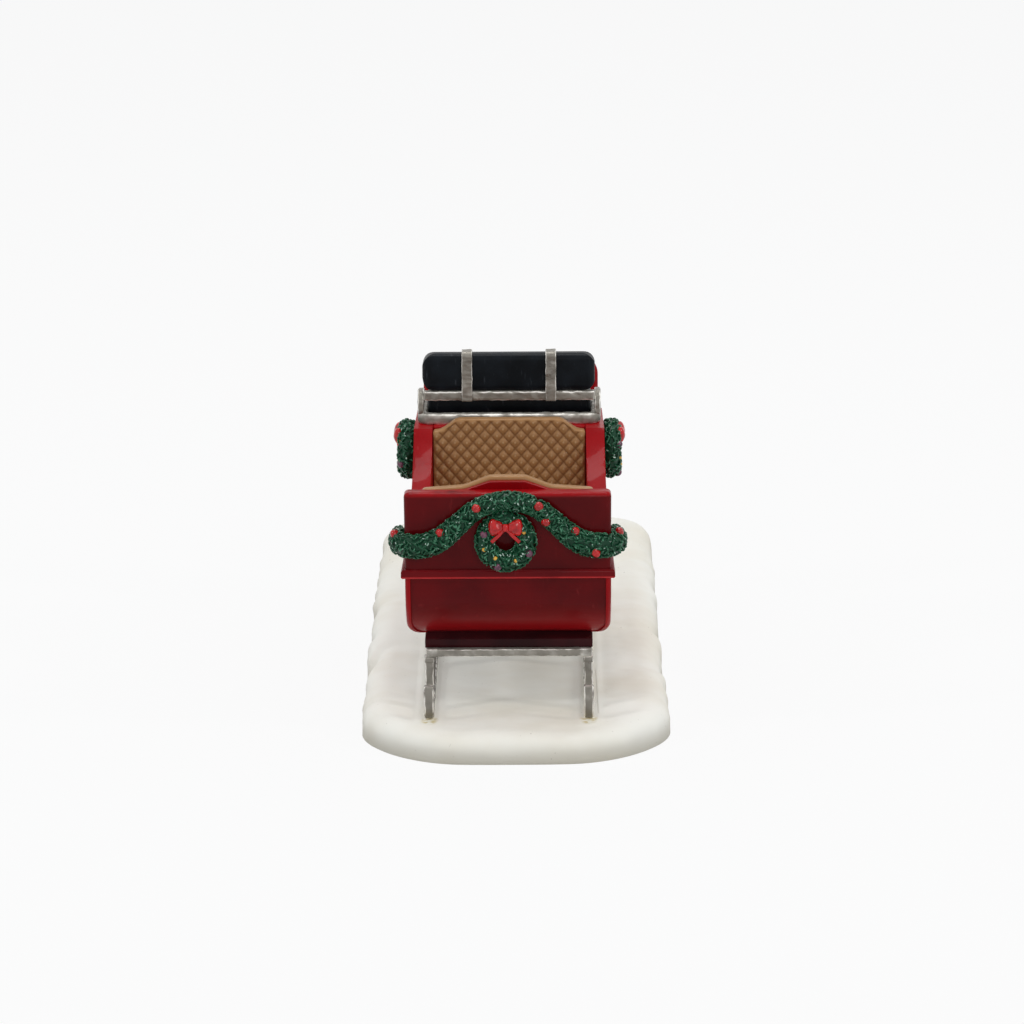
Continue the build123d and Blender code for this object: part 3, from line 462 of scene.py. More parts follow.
def red_paint(name, light, dark, streaks, highlight_band=None, highlight_tone=tone(150, 12, 18), foot=None):
    """Red gloss, brushed on: a little uneven in depth, with dusty scuffs that run up and down. A highlight band
    is a pair of heights in metres, and between them the paint turns to the band's tone, a painted highlight on
    that edge. Below the foot, another pair, it is brighter, a painted reflection of the snow under it."""
    paint = Paint(name, {"Specular IOR Level": 0.05, "Coat Roughness": 0.05, "Coat IOR": 1.4})
    cloud = paint.noise(14, 4).ramp(0.3, 0.75)
    colour = paint.blend(cloud, light, dark)
    up = paint.node("SeparateXYZ", None, {0: paint.place}, output=2)
    if foot:
        # Painted reflection of the snow: the red is brightened low on the panel.
        colour = paint.blend((1 - up.ramp(*foot)) * 0.75, colour, tone(152, 20, 24))
    # Painted highlight: a band along one edge turns to a lighter red.
    if highlight_band:
        share = up.ramp(*highlight_band) if highlight_band[0] < highlight_band[1] else 1 - up.ramp(*highlight_band[::-1])
        colour = paint.blend(share * paint.noise(6, 3, shift=3.0).ramp(0.2, 0.5), colour, highlight_tone)
    scuff = paint.noise(1.3, 5, stretch=(1.0, 1.0, 0.14), shift=4.0).ramp(0.62, 0.78)
    colour = paint.blend(scuff * streaks, colour, tone(176, 70, 70))
    nick = paint.noise(0.7, 2, shift=7.0).ramp(0.79, 0.82)
    colour = paint.blend(nick * streaks, colour, tone(198, 120, 116))
    waves = paint.noise(3.2, 3, stretch=(1.0, 1.0, 0.5)) + 0.25 * paint.noise(0.7, 3, shift=5.0)
    return paint.finish(colour, 0.28 + 0.2 * paint.noise(4.5, 3, shift=9.0) + 0.2 * scuff, waves, 0.03,
                        0.15 - 0.1 * scuff)


def keep(node, paint, rounding):
    """Shows a solid of the frame as it is, with its sharp edges rounded and its curves shaded smooth."""
    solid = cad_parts[node]
    solid.data.materials.clear()
    solid.data.materials.append(paint)
    solid.data.polygons.foreach_set("use_smooth", np.ones(len(solid.data.polygons), bool))
    solid.modifiers.new("merge", "WELD").merge_threshold = 0.000002
    bevel = solid.modifiers.new("rounding", "BEVEL")
    bevel.width, bevel.segments, bevel.limit_method = rounding * MM, 3, "ANGLE"
    bevel.angle_limit, bevel.harden_normals = np.radians(35), True


body_paint = red_paint("body_red", tone(152, 9, 17), tone(134, 7, 14), 0.3)
rear_low, rear_top = (corner[2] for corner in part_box("rear_panel"))
# Painted shade: the rear panel is a darker copy of the body red, with painted highlight and reflection bands.
rear_shaded_paint = red_paint("rear_red_shaded", tone(98, 6, 11), tone(78, 4, 8), 0.16,
                       highlight_band=(rear_top - 0.0013, rear_top - 0.0004), foot=(rear_low + 0.001, rear_low + 0.0105))
belt_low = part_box("belt_moulding")[0][2]
# Painted highlight: the moulding's lower edge turns to a pinkish red.
belt_paint = red_paint("belt_red", tone(108, 7, 14), tone(90, 5, 11), 0.25,
                       highlight_band=(belt_low + 0.0007, belt_low + 0.0003), highlight_tone=tone(186, 46, 48))
for node in ("side_panel_left", "side_panel_right", "floor_board", "dash", "rear_crest_board", "rear_seat_base",
             "front_seat_base", "box_base"):
    keep(node, body_paint, 0.35)
keep("rear_panel", rear_shaded_paint, 0.35)
keep("belt_moulding", belt_paint, 0.3)

# Sill. A board between the crossbars and the body, painted a very dark red. The body stands on it, and its
# front and rear ends show under the body.
sill_paint = red_paint("sill_red", tone(58, 14, 18), tone(34, 8, 11), 0.12)
keep("sill_board", sill_paint, 0.25)

# Draft bar, shafts and yoke. Round sticks that start at a square bar between the runners' noses. A thinner
# round bar ties them together. All are cast in metal and painted silver, like the runners.
BAR_FORWARD, BAR_UP, SHAFT_X, SHAFT_RADIUS, SHAFT_RUB_AND_HIGHLIGHT = 119.92, 12.6, 9.0, 1.1, 0.35
draft_grid, draft_rub = bar((-18.2, -1.2, -1.2), (18.2, 1.2, 1.2), 0.25, (90, 3, 3))
casting("draft_bar_cast", draft_grid + (0, BAR_FORWARD, BAR_UP), 0.04, 71, draft_rub, ["draft_bar"])
shaft_start = BAR_FORWARD + 1.2
shaft_path = route([(0, shaft_start, BAR_UP), (0, shaft_start + 10, BAR_UP), (0, shaft_start + 36, BAR_UP + 16),
                    (0, shaft_start + 72, BAR_UP + 16)], [22, 22])
shaft_grid, _ = bar((0, -SHAFT_RADIUS, -SHAFT_RADIUS), (length_of(shaft_path), SHAFT_RADIUS, SHAFT_RADIUS),
                    SHAFT_RADIUS - 0.001, (210, 1, 1), 7)
for name, side in SIDES:
    stick = carried(shaft_grid, shaft_path) + (side * SHAFT_X, 0, 0)
    casting(f"shaft_stick_{name}", stick, 0.03, 81 + side, SHAFT_RUB_AND_HIGHLIGHT, [f"shaft_{name}"])
yoke_grid, _ = bar((-8.3, -0.9, -0.9), (8.3, 0.9, 0.9), 0.899, (50, 1, 1), 6)
casting("shaft_yoke_cast", yoke_grid + (0, shaft_start + 6, BAR_UP), 0.03, 91, SHAFT_RUB_AND_HIGHLIGHT, ["shaft_yoke"])

# Rear and front seats. Benches with buttoned pads, cast in resin and painted tan. The backs have a rolled top
# edge, and the rear one follows the flare of the panel behind it.
BELT, REAR_TOP, REAR_SET = 35.2, 57.0, 3.0
FLARE = ((REAR_TOP - BELT) ** 2 + REAR_SET ** 2) / (2 * REAR_SET)
SEAT_TOP, BACK_THICK = 39.0, 3.5


def rear_face(up, inward=0.0):
    """How far forward the rear panel's face stands: a circle of the flare's radius, tangent at the belt."""
    return REAR_SET - FLARE + np.sqrt((FLARE + inward) ** 2 - np.clip(up - BELT, 0, None) ** 2)


def camel(across, end, side, middle, plateau, shoulder):
    """Height of a camel-back's top edge: ends, a ramp at each side and a level middle, softened by a running
    mean over 2.4 mm."""
    fine = np.linspace(-26, 26, 1041)
    height = np.interp(np.abs(fine), [0, plateau / 2, shoulder / 2, 25], [middle, middle, side, end])
    soft = np.convolve(np.pad(height, 24, "edge"), np.full(49, 1 / 49), "valid")
    return np.interp(across, fine, soft)


def buttons(across, up, width, height):
    """Swelling of a buttoned pad from 0 to 1: 0 along two sets of slanted creases and 1 midway between them."""
    first = np.sin(np.pi * (across / width + up / height))
    second = np.sin(np.pi * (across / width - up / height))
    return np.abs(first * second) ** 0.55


def tan_paint():
    """Tan paint over a buttoned pad: darker brown in the creases as painted shade, shiny on the swellings and
    lightened on their crowns as painted highlights.
    """
    paint = Paint("tan_pads", {"Specular IOR Level": 0.15, "Coat Roughness": 0.12, "Coat IOR": 1.4})
    swell = paint.node("Attribute", {"attribute_name": "swell"}, output="Fac")
    # Painted shade: the creases between the buttons are darker brown.
    colour = paint.blend(swell.ramp(0.05, 0.7), tone(131, 93, 57), tone(164, 122, 79))
    # Painted highlight: the crowns of the swellings turn pale.
    colour = paint.blend(swell.ramp(0.93, 1.0) * 0.5, colour, tone(212, 182, 142))
    colour = paint.blend(paint.noise(3.5, 4).ramp(0.42, 0.75) * 0.3, colour, tone(134, 94, 57))
    return paint.finish(colour, 0.5 - 0.2 * swell, paint.noise(0.8, 4) + 0.4 * paint.noise(3, 2), 0.04,
                        0.05 + 0.2 * swell)


tan = tan_paint()


def padded_back(half, crest, roll, pitch, border, steps):
    """A back's grid before it is stood in place, as (across, up, depth), and its swelling. Its top edge is a
    camel-back. Depth goes from the rear at 0 to the front, and grows over the buttons. Inside the border's
    width the pattern fades to plain."""
    tallest = camel(0.0, *crest) - SEAT_TOP
    grid, _ = bar((-half, 0, 0), (half, tallest, BACK_THICK), roll, steps, 6)
    across, up, depth = grid[..., 0], grid[..., 1], grid[..., 2]
    top = camel(across, *crest)
    up = SEAT_TOP + np.where(up > roll, roll + (up - roll) * (top - SEAT_TOP - roll) / (tallest - roll), up)
    inside = np.clip((top - border - up) / 0.5, 0, 1)
    inside = inside * np.clip((half - 0.5 * border - np.abs(across)) / 0.5, 0, 1)
    swell = buttons(across, up - SEAT_TOP, *pitch)
    edge_roll = 0.13 * border * np.exp(-((top - 1.0 - up) / 0.8) ** 2)
    front = np.clip(depth / BACK_THICK * 2 - 1, 0, 1)
    depth = depth + front * (0.5 * (swell - 0.75) * inside + edge_roll - 0.3)
    return across, up, depth, np.where((front > 0) & (inside > 0), swell * inside + 0.6 * (1 - inside), 0.6)


BEHIND_REAR_BACK, BOX_REAR = 6.0, 60.0
across, up, depth, swell = padded_back(20.8, (56.1, 57.3, 59.9, 8.5, 20.5), 1.2, (3.0, 5.4), 1.9, (190, 96, 8))
rear_back = np.stack([across, rear_face(up, BEHIND_REAR_BACK) + depth, up], -1)
skin("rear_back_pad", rear_back, tan, "tan_upholstery", ["rear_seat_back"], swell=swell)
across, up, depth, swell = padded_back(18.9, (59.0, 59.0, 62.0, 26, 34), 0.7, (3.0, 3.4), 0.3, (220, 150, 8))
front_back = np.stack([across, BOX_REAR - depth, up], -1)
skin("front_back_pad", front_back, tan, "tan_upholstery", ["front_seat_back"], swell=swell)


def seat_pad(name, half, start, end, node, paint, slot, low, thick, pitch, crown):
    """A seat pad: flat below, crowned above, with buttons in a field inside a plain rolled border."""
    grid, _ = bar((-half, start, 0), (half, end, thick), 1.3, (180, 100, 6), 6)
    across, forward, up = grid[..., 0], grid[..., 1], grid[..., 2]
    middle, reach = (start + end) / 2, (end - start) / 2
    field = np.clip((half - 1.8 - np.abs(across)) / 0.8, 0, 1) * np.clip(
        (reach - 1.8 - np.abs(forward - middle)) / 0.8, 0, 1)
    swell = buttons(across, forward - middle, *pitch)
    top = np.clip(up / thick * 2 - 1, 0, 1)
    dome = crown * (1 - (across / half) ** 4) * (1 - ((forward - middle) / reach) ** 4)
    up = up + top * (dome - crown + 0.5 * (swell - 0.8) * field)
    pull = 0.25 * np.sin(np.pi * np.clip(up / thick, 0, 1)) ** 2
    forward = forward - np.sign(forward - middle) * (0.25 - pull) * (np.abs(forward - middle) > reach - 1.4)
    placed = np.stack([across, forward, low + up], -1)
    swell = np.where(top > 0, swell * field + 0.6 * (1 - field), 0.5)
    return skin(name, placed, paint, slot, [node], swell=swell)


for name, half, start, end in (("rear", 19.2, 11.9, 27.0), ("front", 18.7, 41.0, 56.1)):
    seat_pad(f"{name}_seat_pad", half, start, end, f"{name}_seat_cushion", tan, "tan_upholstery", SEAT_TOP, 5.5,
             (4.2, 4.2), 0.7)

# Box seat. A silver frame lies on the box. It holds a black pad, and two bent arms carry a rail with the black
# back on it. Two flat straps run up the back and hook over its top.
BOX_TOP, RAIL_HALF, RAIL_TOP = 59.4, 22.8, 62.1
BACK_HALF, BACK_ROUND = 4.75, 3.3  # half the black back's height, and the rounding of its corners
ARM_REAR, ARM_X, STRAP_X = 64.2, 22.05, 10.45


def black_paint():
    """Black satin paint with a cool cast, dusty on top, over slightly creased leather."""
    paint = Paint("black_pads", {"Specular IOR Level": 0.08, "Coat Roughness": 0.2, "Coat IOR": 1.4})
    cloud = paint.noise(7, 4).ramp(0.35, 0.75)
    colour = paint.blend(cloud, tone(9, 13, 17), tone(18, 24, 30))
    dust = paint.noise(0.9, 4, stretch=(1.0, 1.0, 0.25), shift=2.0).ramp(0.62, 0.78)
    colour = paint.blend(dust * 0.22, colour, tone(96, 104, 112))
    nick = paint.noise(0.8, 2, stretch=(1.0, 1.0, 0.4), shift=6.0).ramp(0.78, 0.82)
    colour = paint.blend(nick * 0.6, colour, tone(120, 124, 128))
    creases = paint.noise(2.2, 3) + 0.3 * paint.noise(0.6, 3)
    return paint.finish(colour, 0.36 + 0.2 * cloud, creases, 0.05, 0.04 + 0.06 * cloud)


black = black_paint()
seat_pad("box_seat_pad", 20.4, 67.9, 79.2, "box_cushion", black, "black_upholstery", BOX_TOP, 7.1,
         (60.0, 60.0), 0.9)


def headings(path, loop=False):
    """The direction ahead at each point: from the point before to the point after."""
    return unit(np.roll(path, -1, 0) - np.roll(path, 1, 0) if loop else np.gradient(path, axis=0))


edge, near, far = RAIL_HALF - 1.2, 63.2, 80.8
plan = [(0, near, 0), (edge, near, 0), (edge, far, 0), (-edge, far, 0), (-edge, near, 0), (0, near, 0)]
rail_path = route(plan, [1.9] * 4, 0.5)[:-1]
turn = np.radians(np.arange(0, 360, 18))
ring = np.stack([np.cos(turn), np.sin(turn)], -1)
ring = np.sign(ring) * np.abs(ring) ** 0.38 * (1.2, 1.35)  # a circle drawn out to a rounded box
outward = np.cross(headings(rail_path, loop=True), (0, 0, 1))
rail_grid = rail_path[:, None] + ring[None, :, :1] * outward[:, None] + ring[None, :, 1:] * (0, 0, 1)
casting("box_frame_rail", rail_grid + (0, 0, BOX_TOP + 1.35), 0.06, 101, np.abs(np.sin(2 * turn)) ** 2,
        ["box_lower_rail"], loop=True)
upper_grid, upper_rub = bar((-21.3, -1.2, -1.15), (21.3, 1.2, 1.15), 0.4, (140, 4, 4))
casting("box_back_rail", upper_grid + (0, ARM_REAR, 66.45), 0.06, 111, upper_rub, ["box_upper_rail"])

back_grid, _ = bar((-21.6, 0, 0), (21.4, 2 * BACK_HALF, 4.6), 1.5, (150, 30, 10), 7)
across, up, depth = back_grid[..., 0], back_grid[..., 1] - BACK_HALF, back_grid[..., 2]
squeeze = np.sqrt(np.clip(1 - (np.clip(np.abs(across) - 18.2, 0, None) / BACK_ROUND) ** 2, 0, 1))
up = np.sign(up) * np.minimum(np.abs(up), BACK_HALF - BACK_ROUND + BACK_ROUND * squeeze)
under_strap = np.exp(-((np.abs(across) - STRAP_X) / 2.2) ** 2)
puff = (1 - (up / BACK_HALF) ** 2) * (1 - 0.85 * under_strap)
depth = depth + 0.35 * puff * (depth > 2.3)
box_back = np.stack([across, 63.0 + depth, 67.6 + BACK_HALF + up], -1)
skin("box_back_pad", box_back, black, "black_upholstery", ["box_back"])

strap_path = route([(0, 62.5, 65.3), (0, 62.5, 77.35), (0, 66.6, 77.2)], [0.75], 0.2)
strap_grid, strap_rub = bar((0, -1.3, -0.5), (length_of(strap_path), 1.3, 0.5), 0.22, (90, 5, 2))
for name, side in SIDES:
    strap = carried(strap_grid, strap_path) + (side * STRAP_X, 0, 0)
    casting(f"box_strap_iron_{name}", strap, 0.05, 121 + side, strap_rub, [f"box_strap_{name}"])

arm_path = route([(0, ARM_REAR, RAIL_TOP - 0.4), (0, ARM_REAR, 66.9), (0, 76.6, 64.6), (0, 76.6, 62.9),
                  (0, 79.2, 62.8)], [2.6, 0.9, 0.5], 0.3)
arm_grid, arm_rub = bar((0, -0.75, -1.0), (length_of(arm_path), 0.75, 1.0), 0.3, (90, 3, 3))
for name, side in SIDES:
    arm = carried(arm_grid, arm_path) + (side * ARM_X, 0, 0)
    casting(f"box_arm_iron_{name}", arm, 0.06, 131 + side, arm_rub, [f"box_arm_{name}"])

# Garland. A rope of cast foliage hangs in two swags across the rear and turns round both corners of the body.
# It is painted green, its short curled sprigs are touched with pale paint, partly painted highlights and
# glints, and red berries sit in it.
CREST_UP, SLOPE, SAG_X, SAG_BEND, CREST_BEND, ROPE = 55.3, np.radians(40), 21.8, 11.2, 14.0, 2.8
apex = CREST_UP + CREST_BEND * (1 / np.cos(SLOPE) - 1)
bends = CREST_BEND + SAG_BEND
sag_up = CREST_UP - bends * (1 - np.cos(SLOPE)) - (SAG_X - bends * np.sin(SLOPE)) * np.tan(SLOPE)


def hang(up):
    """How far forward the rope's middle hangs: 0.8 mm behind the panel's face at its sags and its crest."""
    sag_face, crest_face = rear_face(sag_up), rear_face(CREST_UP)
    return sag_face - 0.8 + (up - sag_up) * ((crest_face - sag_face) / (CREST_UP - sag_up))


side_x, sag_corner = 25.8, SAG_X - SAG_BEND * np.tan(SLOPE / 2)
half_route = [(side_x, hang(sag_up) + 9.0, sag_up), (side_x, hang(sag_up), sag_up),
              (sag_corner, hang(sag_up), sag_up)]
garland_path = route([(-x, y, z) for x, y, z in half_route] + [(0, hang(apex), apex)] + half_route[::-1],
                     [4.0, SAG_BEND, CREST_BEND, SAG_BEND, 4.0])
end_share = np.clip((np.abs(garland_path[:, 0]) - 6) / 15, 0, 1)
end_share = end_share ** 2 * (3 - 2 * end_share)
garland_path[:, 2] -= 1.1 * end_share
garland_thick = (ROPE - 0.95) + 0.65 * end_share


def foliage_paint():
    """Deep green gloss, darker where the sprigs face the rope as painted shade. The sprigs' crowns carry a dry
    brush of pale green that is partly painted highlight, and a few carry nearly white painted glints.
    """
    paint = Paint("foliage_green", {"Specular IOR Level": 0.12, "Coat Roughness": 0.08, "Coat IOR": 1.4})
    crown = paint.node("Attribute", {"attribute_name": "crown"}, output="Fac")
    # Painted shade: each sprig is darker on its side towards the rope.
    colour = paint.blend(crown.ramp(0.0, 0.6), tone(6, 40, 26), tone(17, 72, 46))
    # Dry brush of pale green on the crowns, partly a painted highlight.
    dry_brush_and_highlight = crown.ramp(0.7, 1.0) * paint.noise(1.3, 3).ramp(0.5, 0.66)
    colour = paint.blend(dry_brush_and_highlight * 0.6, colour, tone(96, 164, 128))
    # Painted glints: a few crowns turn nearly white.
    white_glint = crown.ramp(0.8, 1.0) * paint.noise(0.8, 2, shift=3.0).ramp(0.6, 0.68)
    colour = paint.blend(white_glint * 0.9, colour, tone(222, 238, 228))
    return paint.finish(colour, 0.42 - 0.12 * crown, paint.noise(0.4, 3) + 0.5 * paint.noise(1.2, 2), 0.05,
                        0.15 + 0.25 * crown)


foliage = foliage_paint()


def rope_core(name, path, radius, seed, up, loop=False, nodes=()):
    """A lumpy rope: circles across the path whose radius swells and shrinks by a sway over the surface. The
    radius is one number or one for each point of the path."""
    ahead = headings(path, loop)
    out = unit(np.cross(ahead, up))
    lift = np.cross(out, ahead)
    turn = np.linspace(0, 2 * np.pi, 36, endpoint=False)
    way = np.cos(turn)[None, :, None] * out[:, None] + np.sin(turn)[None, :, None] * lift[:, None]
    spot = path[:, None] + np.reshape(radius, (-1, 1, 1)) * way
    spot = spot + way * (0.16 * sway(spot, 2.6, seed) + 0.1 * sway(spot, 1.2, seed + 1))[..., None]
    if not loop:
        run = np.linspace(0, length_of(path), len(path))
        end = np.minimum(run, run[-1] - run)
        draw = np.sqrt(np.clip(1 - (1 - np.clip(end / 1.8, 0, 1)) ** 2, 0.0, 1))[:, None, None]
        spot = path[:, None] + (spot - path[:, None]) * np.maximum(draw, 0.02)
    return skin(name, spot, foliage, "foliage_green", nodes, loop=loop, crown=0.3)


def sprigs(name, path, radius, count, seed, up, loop=False):
    """Short curled sprigs over a rope. Each is a thin spindle bent along an arc on the rope's surface: its
    middle stands proud, its ends dip in, and its heading is near the rope's, to one side or the other."""
    random = np.random.default_rng(seed)
    at = (np.arange(count) + random.uniform(0, 1, count)) / count * (len(path) - 1)
    spot = between(at, np.arange(len(path)), path)
    way = unit(between(at, np.arange(len(path)), headings(path, loop)))
    side = unit(np.cross(way, up))
    lift = np.cross(side, way)
    turn = (np.arange(count) * 2.39996 + random.normal(0, 0.25, count))[:, None]
    out = np.cos(turn) * side + np.sin(turn) * lift
    round_ = np.cross(way, out)
    lean = (random.choice([-1, 1], count) * random.uniform(0.15, 1.35, count))[:, None]
    heading = np.cos(lean) * way + np.sin(lean) * round_
    sideways = np.cross(out, heading)
    size = random.uniform(1.3, 2.3, count)[:, None, None]
    curl = random.normal(0, 0.75, count)[:, None, None]
    share = np.linspace(-1, 1, 8)[None, :, None]
    radius = np.interp(at, np.linspace(0, len(path) - 1, np.size(radius)), np.ravel(radius))[:, None]
    line = (spot + radius * out)[:, None] + 0.5 * size * share * heading[:, None]
    line = line + 0.42 * curl * (share ** 2 - 0.5) * sideways[:, None]
    dip = (0.5 * size * share) ** 2 / (2.6 * radius[..., None])
    line = line + (0.12 + 0.3 * (1 - share ** 2) - dip) * out[:, None]
    bulk = random.uniform(0.2, 0.34, count)[:, None, None] * np.sqrt(np.clip(1.02 - share ** 2, 0.02, 1))
    ring = np.linspace(0, 2 * np.pi, 7, endpoint=False)
    slim = np.cos(ring)[:, None] * sideways[:, None, None] + np.sin(ring)[:, None] * out[:, None, None]
    grid = line[:, :, None] + bulk[..., None] * slim
    crown = 0.5 + 0.5 * np.sin(ring)[None, None] * np.sqrt(np.clip(1 - share ** 2 * 0.8, 0, 1))
    return skin(name, grid, foliage, "foliage_green", crown=crown)


rope_core("garland_rope", garland_path, garland_thick, 141, (0, 0, 1), nodes=["rear_garland"])
sprigs("garland_sprigs", garland_path, garland_thick, 1400, 151, (0, 0, 1))


def berry_paint(name, light, dark, glint_share):
    """Glossy enamel on a berry, deeper in patches, with small pale painted highlights by the glint share."""
    paint = Paint(name, {"Specular IOR Level": 0.15, "Coat Roughness": 0.04, "Coat IOR": 1.45})
    colour = paint.blend(paint.noise(1.1, 3).ramp(0.35, 0.7), light, dark)
    # Painted highlight: small pale pink glints, as many as the glint share allows.
    colour = paint.blend(paint.noise(0.5, 2, shift=4.0).ramp(0.66, 0.74) * glint_share, colour, tone(240, 170, 160))
    return paint.finish(colour, 0.2 + 0.2 * paint.noise(1.4, 2), paint.noise(0.7, 3), 0.015,
                        0.8 - 0.2 * paint.noise(0.9, 2, shift=8.0))


berry = berry_paint("berry_red", tone(192, 14, 15), tone(148, 6, 10), 0.25)


def beads(name, middles, radius, paint, slot, seed, nodes=()):
    """Small uneven balls: rings from pole to pole, swollen a little by a sway, with a dimple at one pole."""
    random = np.random.default_rng(seed)
    middles = np.array(middles, float)
    fall = np.linspace(0, np.pi, 16)[1:-1]
    turn = np.linspace(0, 2 * np.pi, 22, endpoint=False)
    ball = np.stack([np.sin(fall)[:, None] * np.cos(turn), np.sin(fall)[:, None] * np.sin(turn),
                     np.cos(fall)[:, None] * np.ones_like(turn)], -1)
    size = radius * (1 - 0.16 * np.exp(-(fall / 0.35) ** 2))[:, None, None]
    poles = unit(random.normal(size=(len(middles), 3)) * 0.5 + (0, -1, 0.5))
    first = unit(np.cross(poles, (0.3, 0.2, 1)))
    second = np.cross(poles, first)
    turned = ball[None, ..., :1] * first[:, None, None] + ball[None, ..., 1:2] * second[:, None, None] + (
        ball[None, ..., 2:] * poles[:, None, None])
    grid = middles[:, None, None] + size[None] * turned
    grid = grid + turned * (0.06 * radius * sway(grid, 1.7 * radius, seed))[..., None]
    return skin(name, grid, paint, slot, nodes)


def garland_spot(across, tilt):
    """A point on the garland's outside, by its place across the rear and its tilt in degrees from straight
    up."""
    near = np.argmin(np.abs(garland_path[:, 0] - across) + (np.abs(garland_path[:, 1] - hang(sag_up)) > 6) * 9)
    middle = garland_path[near]
    outward = np.array([0, -1, 0]) if abs(across) < 23 else np.array([np.sign(across), 0, 0])
    way = np.array([0, 0, 1]) * np.cos(np.radians(tilt)) + outward * np.sin(np.radians(tilt))
    return middle + (garland_thick[near] + 0.35) * way


BERRY_SPOTS = [(-25.7, 35), (-16.2, 40), (-7.6, 70), (7.4, 60), (9.1, 130), (16.3, 35), (21.2, 115), (25.7, 25)]
beads("garland_berry_beads", [garland_spot(*spot) for spot in BERRY_SPOTS], 1.1, berry, "berry_red", 161,
      ["garland_berries"])

# Wreaths. Three rings of the same foliage, one on the rear under the garland and one on each side. Each has a
# glossy bow over its hole, gold beads and a few purple berries.
WREATH_RING, WREATH_TUBE, WREATH_STAND = 5.0, 2.05, 1.9
REAR_WREATH_UP, SIDE_WREATH_UP, SIDE_WREATH_FORWARD = 45.0, 52.4, 66.0
side_stand = 25.0 + (22.4 - 25.0) * SIDE_WREATH_FORWARD / 113.0 + WREATH_STAND  # the body narrows to its front
WREATH_PLACES = {
    "rear": (0, np.array([-0.5, rear_face(REAR_WREATH_UP) - WREATH_STAND, REAR_WREATH_UP])),
    "left": (-90, np.array([-side_stand, SIDE_WREATH_FORWARD, SIDE_WREATH_UP])),
    "right": (90, np.array([side_stand, SIDE_WREATH_FORWARD, SIDE_WREATH_UP])),
}
gold_paint = berry_paint("bead_gold", tone(226, 176, 70), tone(184, 128, 36), 0.0)
purple_paint = berry_paint("berry_purple", tone(112, 62, 84), tone(76, 38, 60), 0.3)
bow_paint = berry_paint("bow_red", tone(196, 10, 14), tone(150, 5, 9), 0.1)
around = np.linspace(0, 2 * np.pi, 96, endpoint=False)
wreath_path = WREATH_RING * np.stack([np.cos(around), 0 * around, np.sin(around)], -1)


def faced(points, name):
    """Turns what is drawn facing the rear to its wall and moves it there."""
    turn, spot = WREATH_PLACES[name]
    cos, sin = np.cos(np.radians(turn)), np.sin(np.radians(turn))
    return points @ np.array([[cos, sin, 0], [-sin, cos, 0], [0, 0, 1]]) + spot


def bow_loop(side):
    """A bow's loop: a flattened bag, narrow at the knot, that widens outwards and has pleats at the knot."""
    grid, _ = bar((0, -1, -1), (3.9, 1, 1), 0.999, (26, 1, 1), 9)
    out, across, deep = grid[..., 0] / 3.9, grid[..., 1], grid[..., 2]
    wide = 0.75 + 1.35 * np.sin(np.clip(out * 1.15, 0, 1) * np.pi / 2)
    thick = 0.7 + 0.6 * np.sin(np.clip(out, 0, 1) * np.pi)
    turn = np.arctan2(deep, across)
    pleat = 1 - 0.1 * np.cos(5 * turn) * np.clip(1 - out * 1.3, 0, 1)
    deep = -WREATH_TUBE - 0.2 - thick * deep * pleat
    return np.stack([side * (0.2 + grid[..., 0]), deep, across * wide * pleat], -1)


def bow_tail(side):
    """A ribbon's end: a flat strip from the knot, out and down over the wreath, widening a little."""
    path = route([(0, -WREATH_TUBE - 0.5, 0), (side * 1.6, -WREATH_TUBE - 0.55, -1.9),
                  (side * 3.4, -WREATH_TUBE - 0.2, -3.7)], [3.0], 0.15)
    grid, _ = bar((0, -0.42, -0.22), (length_of(path), 0.42, 0.22), 0.18, (36, 4, 2))
    return carried(grid, path, (0.7 * side, 0, 0.7))


def face(degrees, ring, deep):
    """A point on a wreath's face, by its angle round the ring, its distance from the middle and its depth."""
    return ring * np.cos(np.radians(degrees)), -deep, ring * np.sin(np.radians(degrees))


knot_grid, _ = bar((-0.75, -0.95, -0.7), (0.75, 0.95, 0.7), 0.55, (6, 3, 2), 5)
knot = np.stack([knot_grid[..., 0], knot_grid[..., 2] - WREATH_TUBE - 0.55, knot_grid[..., 1]], -1)
gold_spots = np.array([face(32, 5.2, 2.2), face(196, 5.4, 2.2), face(236, 4.4, 2.3), face(300, 4.9, 2.3)])
purple_spots = np.array([face(158, 5.6, 1.9), face(335, 6.2, 1.7), face(252, 6.2, 1.7)])
bow_up = np.array([0, 0, WREATH_RING - 1.0])
for name in WREATH_PLACES:
    seed = 200 + 10 * len(name)
    path = faced(wreath_path, name)
    wall = faced(np.array([[0.0, 1.0, 0.0]]), name)[0] - WREATH_PLACES[name][1]
    rope_core(f"wreath_core_{name}", path, WREATH_TUBE, seed, wall, loop=True, nodes=[f"wreath_{name}"])
    sprigs(f"wreath_sprigs_{name}", path, WREATH_TUBE, 430, seed + 1, wall, loop=True)
    loops = np.stack([faced(bow_loop(side) + bow_up, name) for side in (-1, 1)])
    skin(f"bow_loops_{name}", loops, bow_paint, "berry_red", [f"bow_{name}"])
    tails = np.stack([faced(bow_tail(side) + bow_up, name) for side in (-1, 1)])
    skin(f"bow_tails_{name}", tails, bow_paint, "berry_red")
    skin(f"bow_knot_{name}", faced(knot + bow_up, name), bow_paint, "berry_red")
    beads(f"gold_beads_{name}", faced(gold_spots, name), 0.5, gold_paint, "berry_red", seed + 2)
    beads(f"purple_berries_{name}", faced(purple_spots, name), 0.95, purple_paint, "berry_red", seed + 3)

# Studio. A pale floor and surround, soft boxes above, in front and to both sides, and the camera straight
# behind the sleigh and a little above it.
bpy.context.scene.view_settings.view_transform = "Standard"


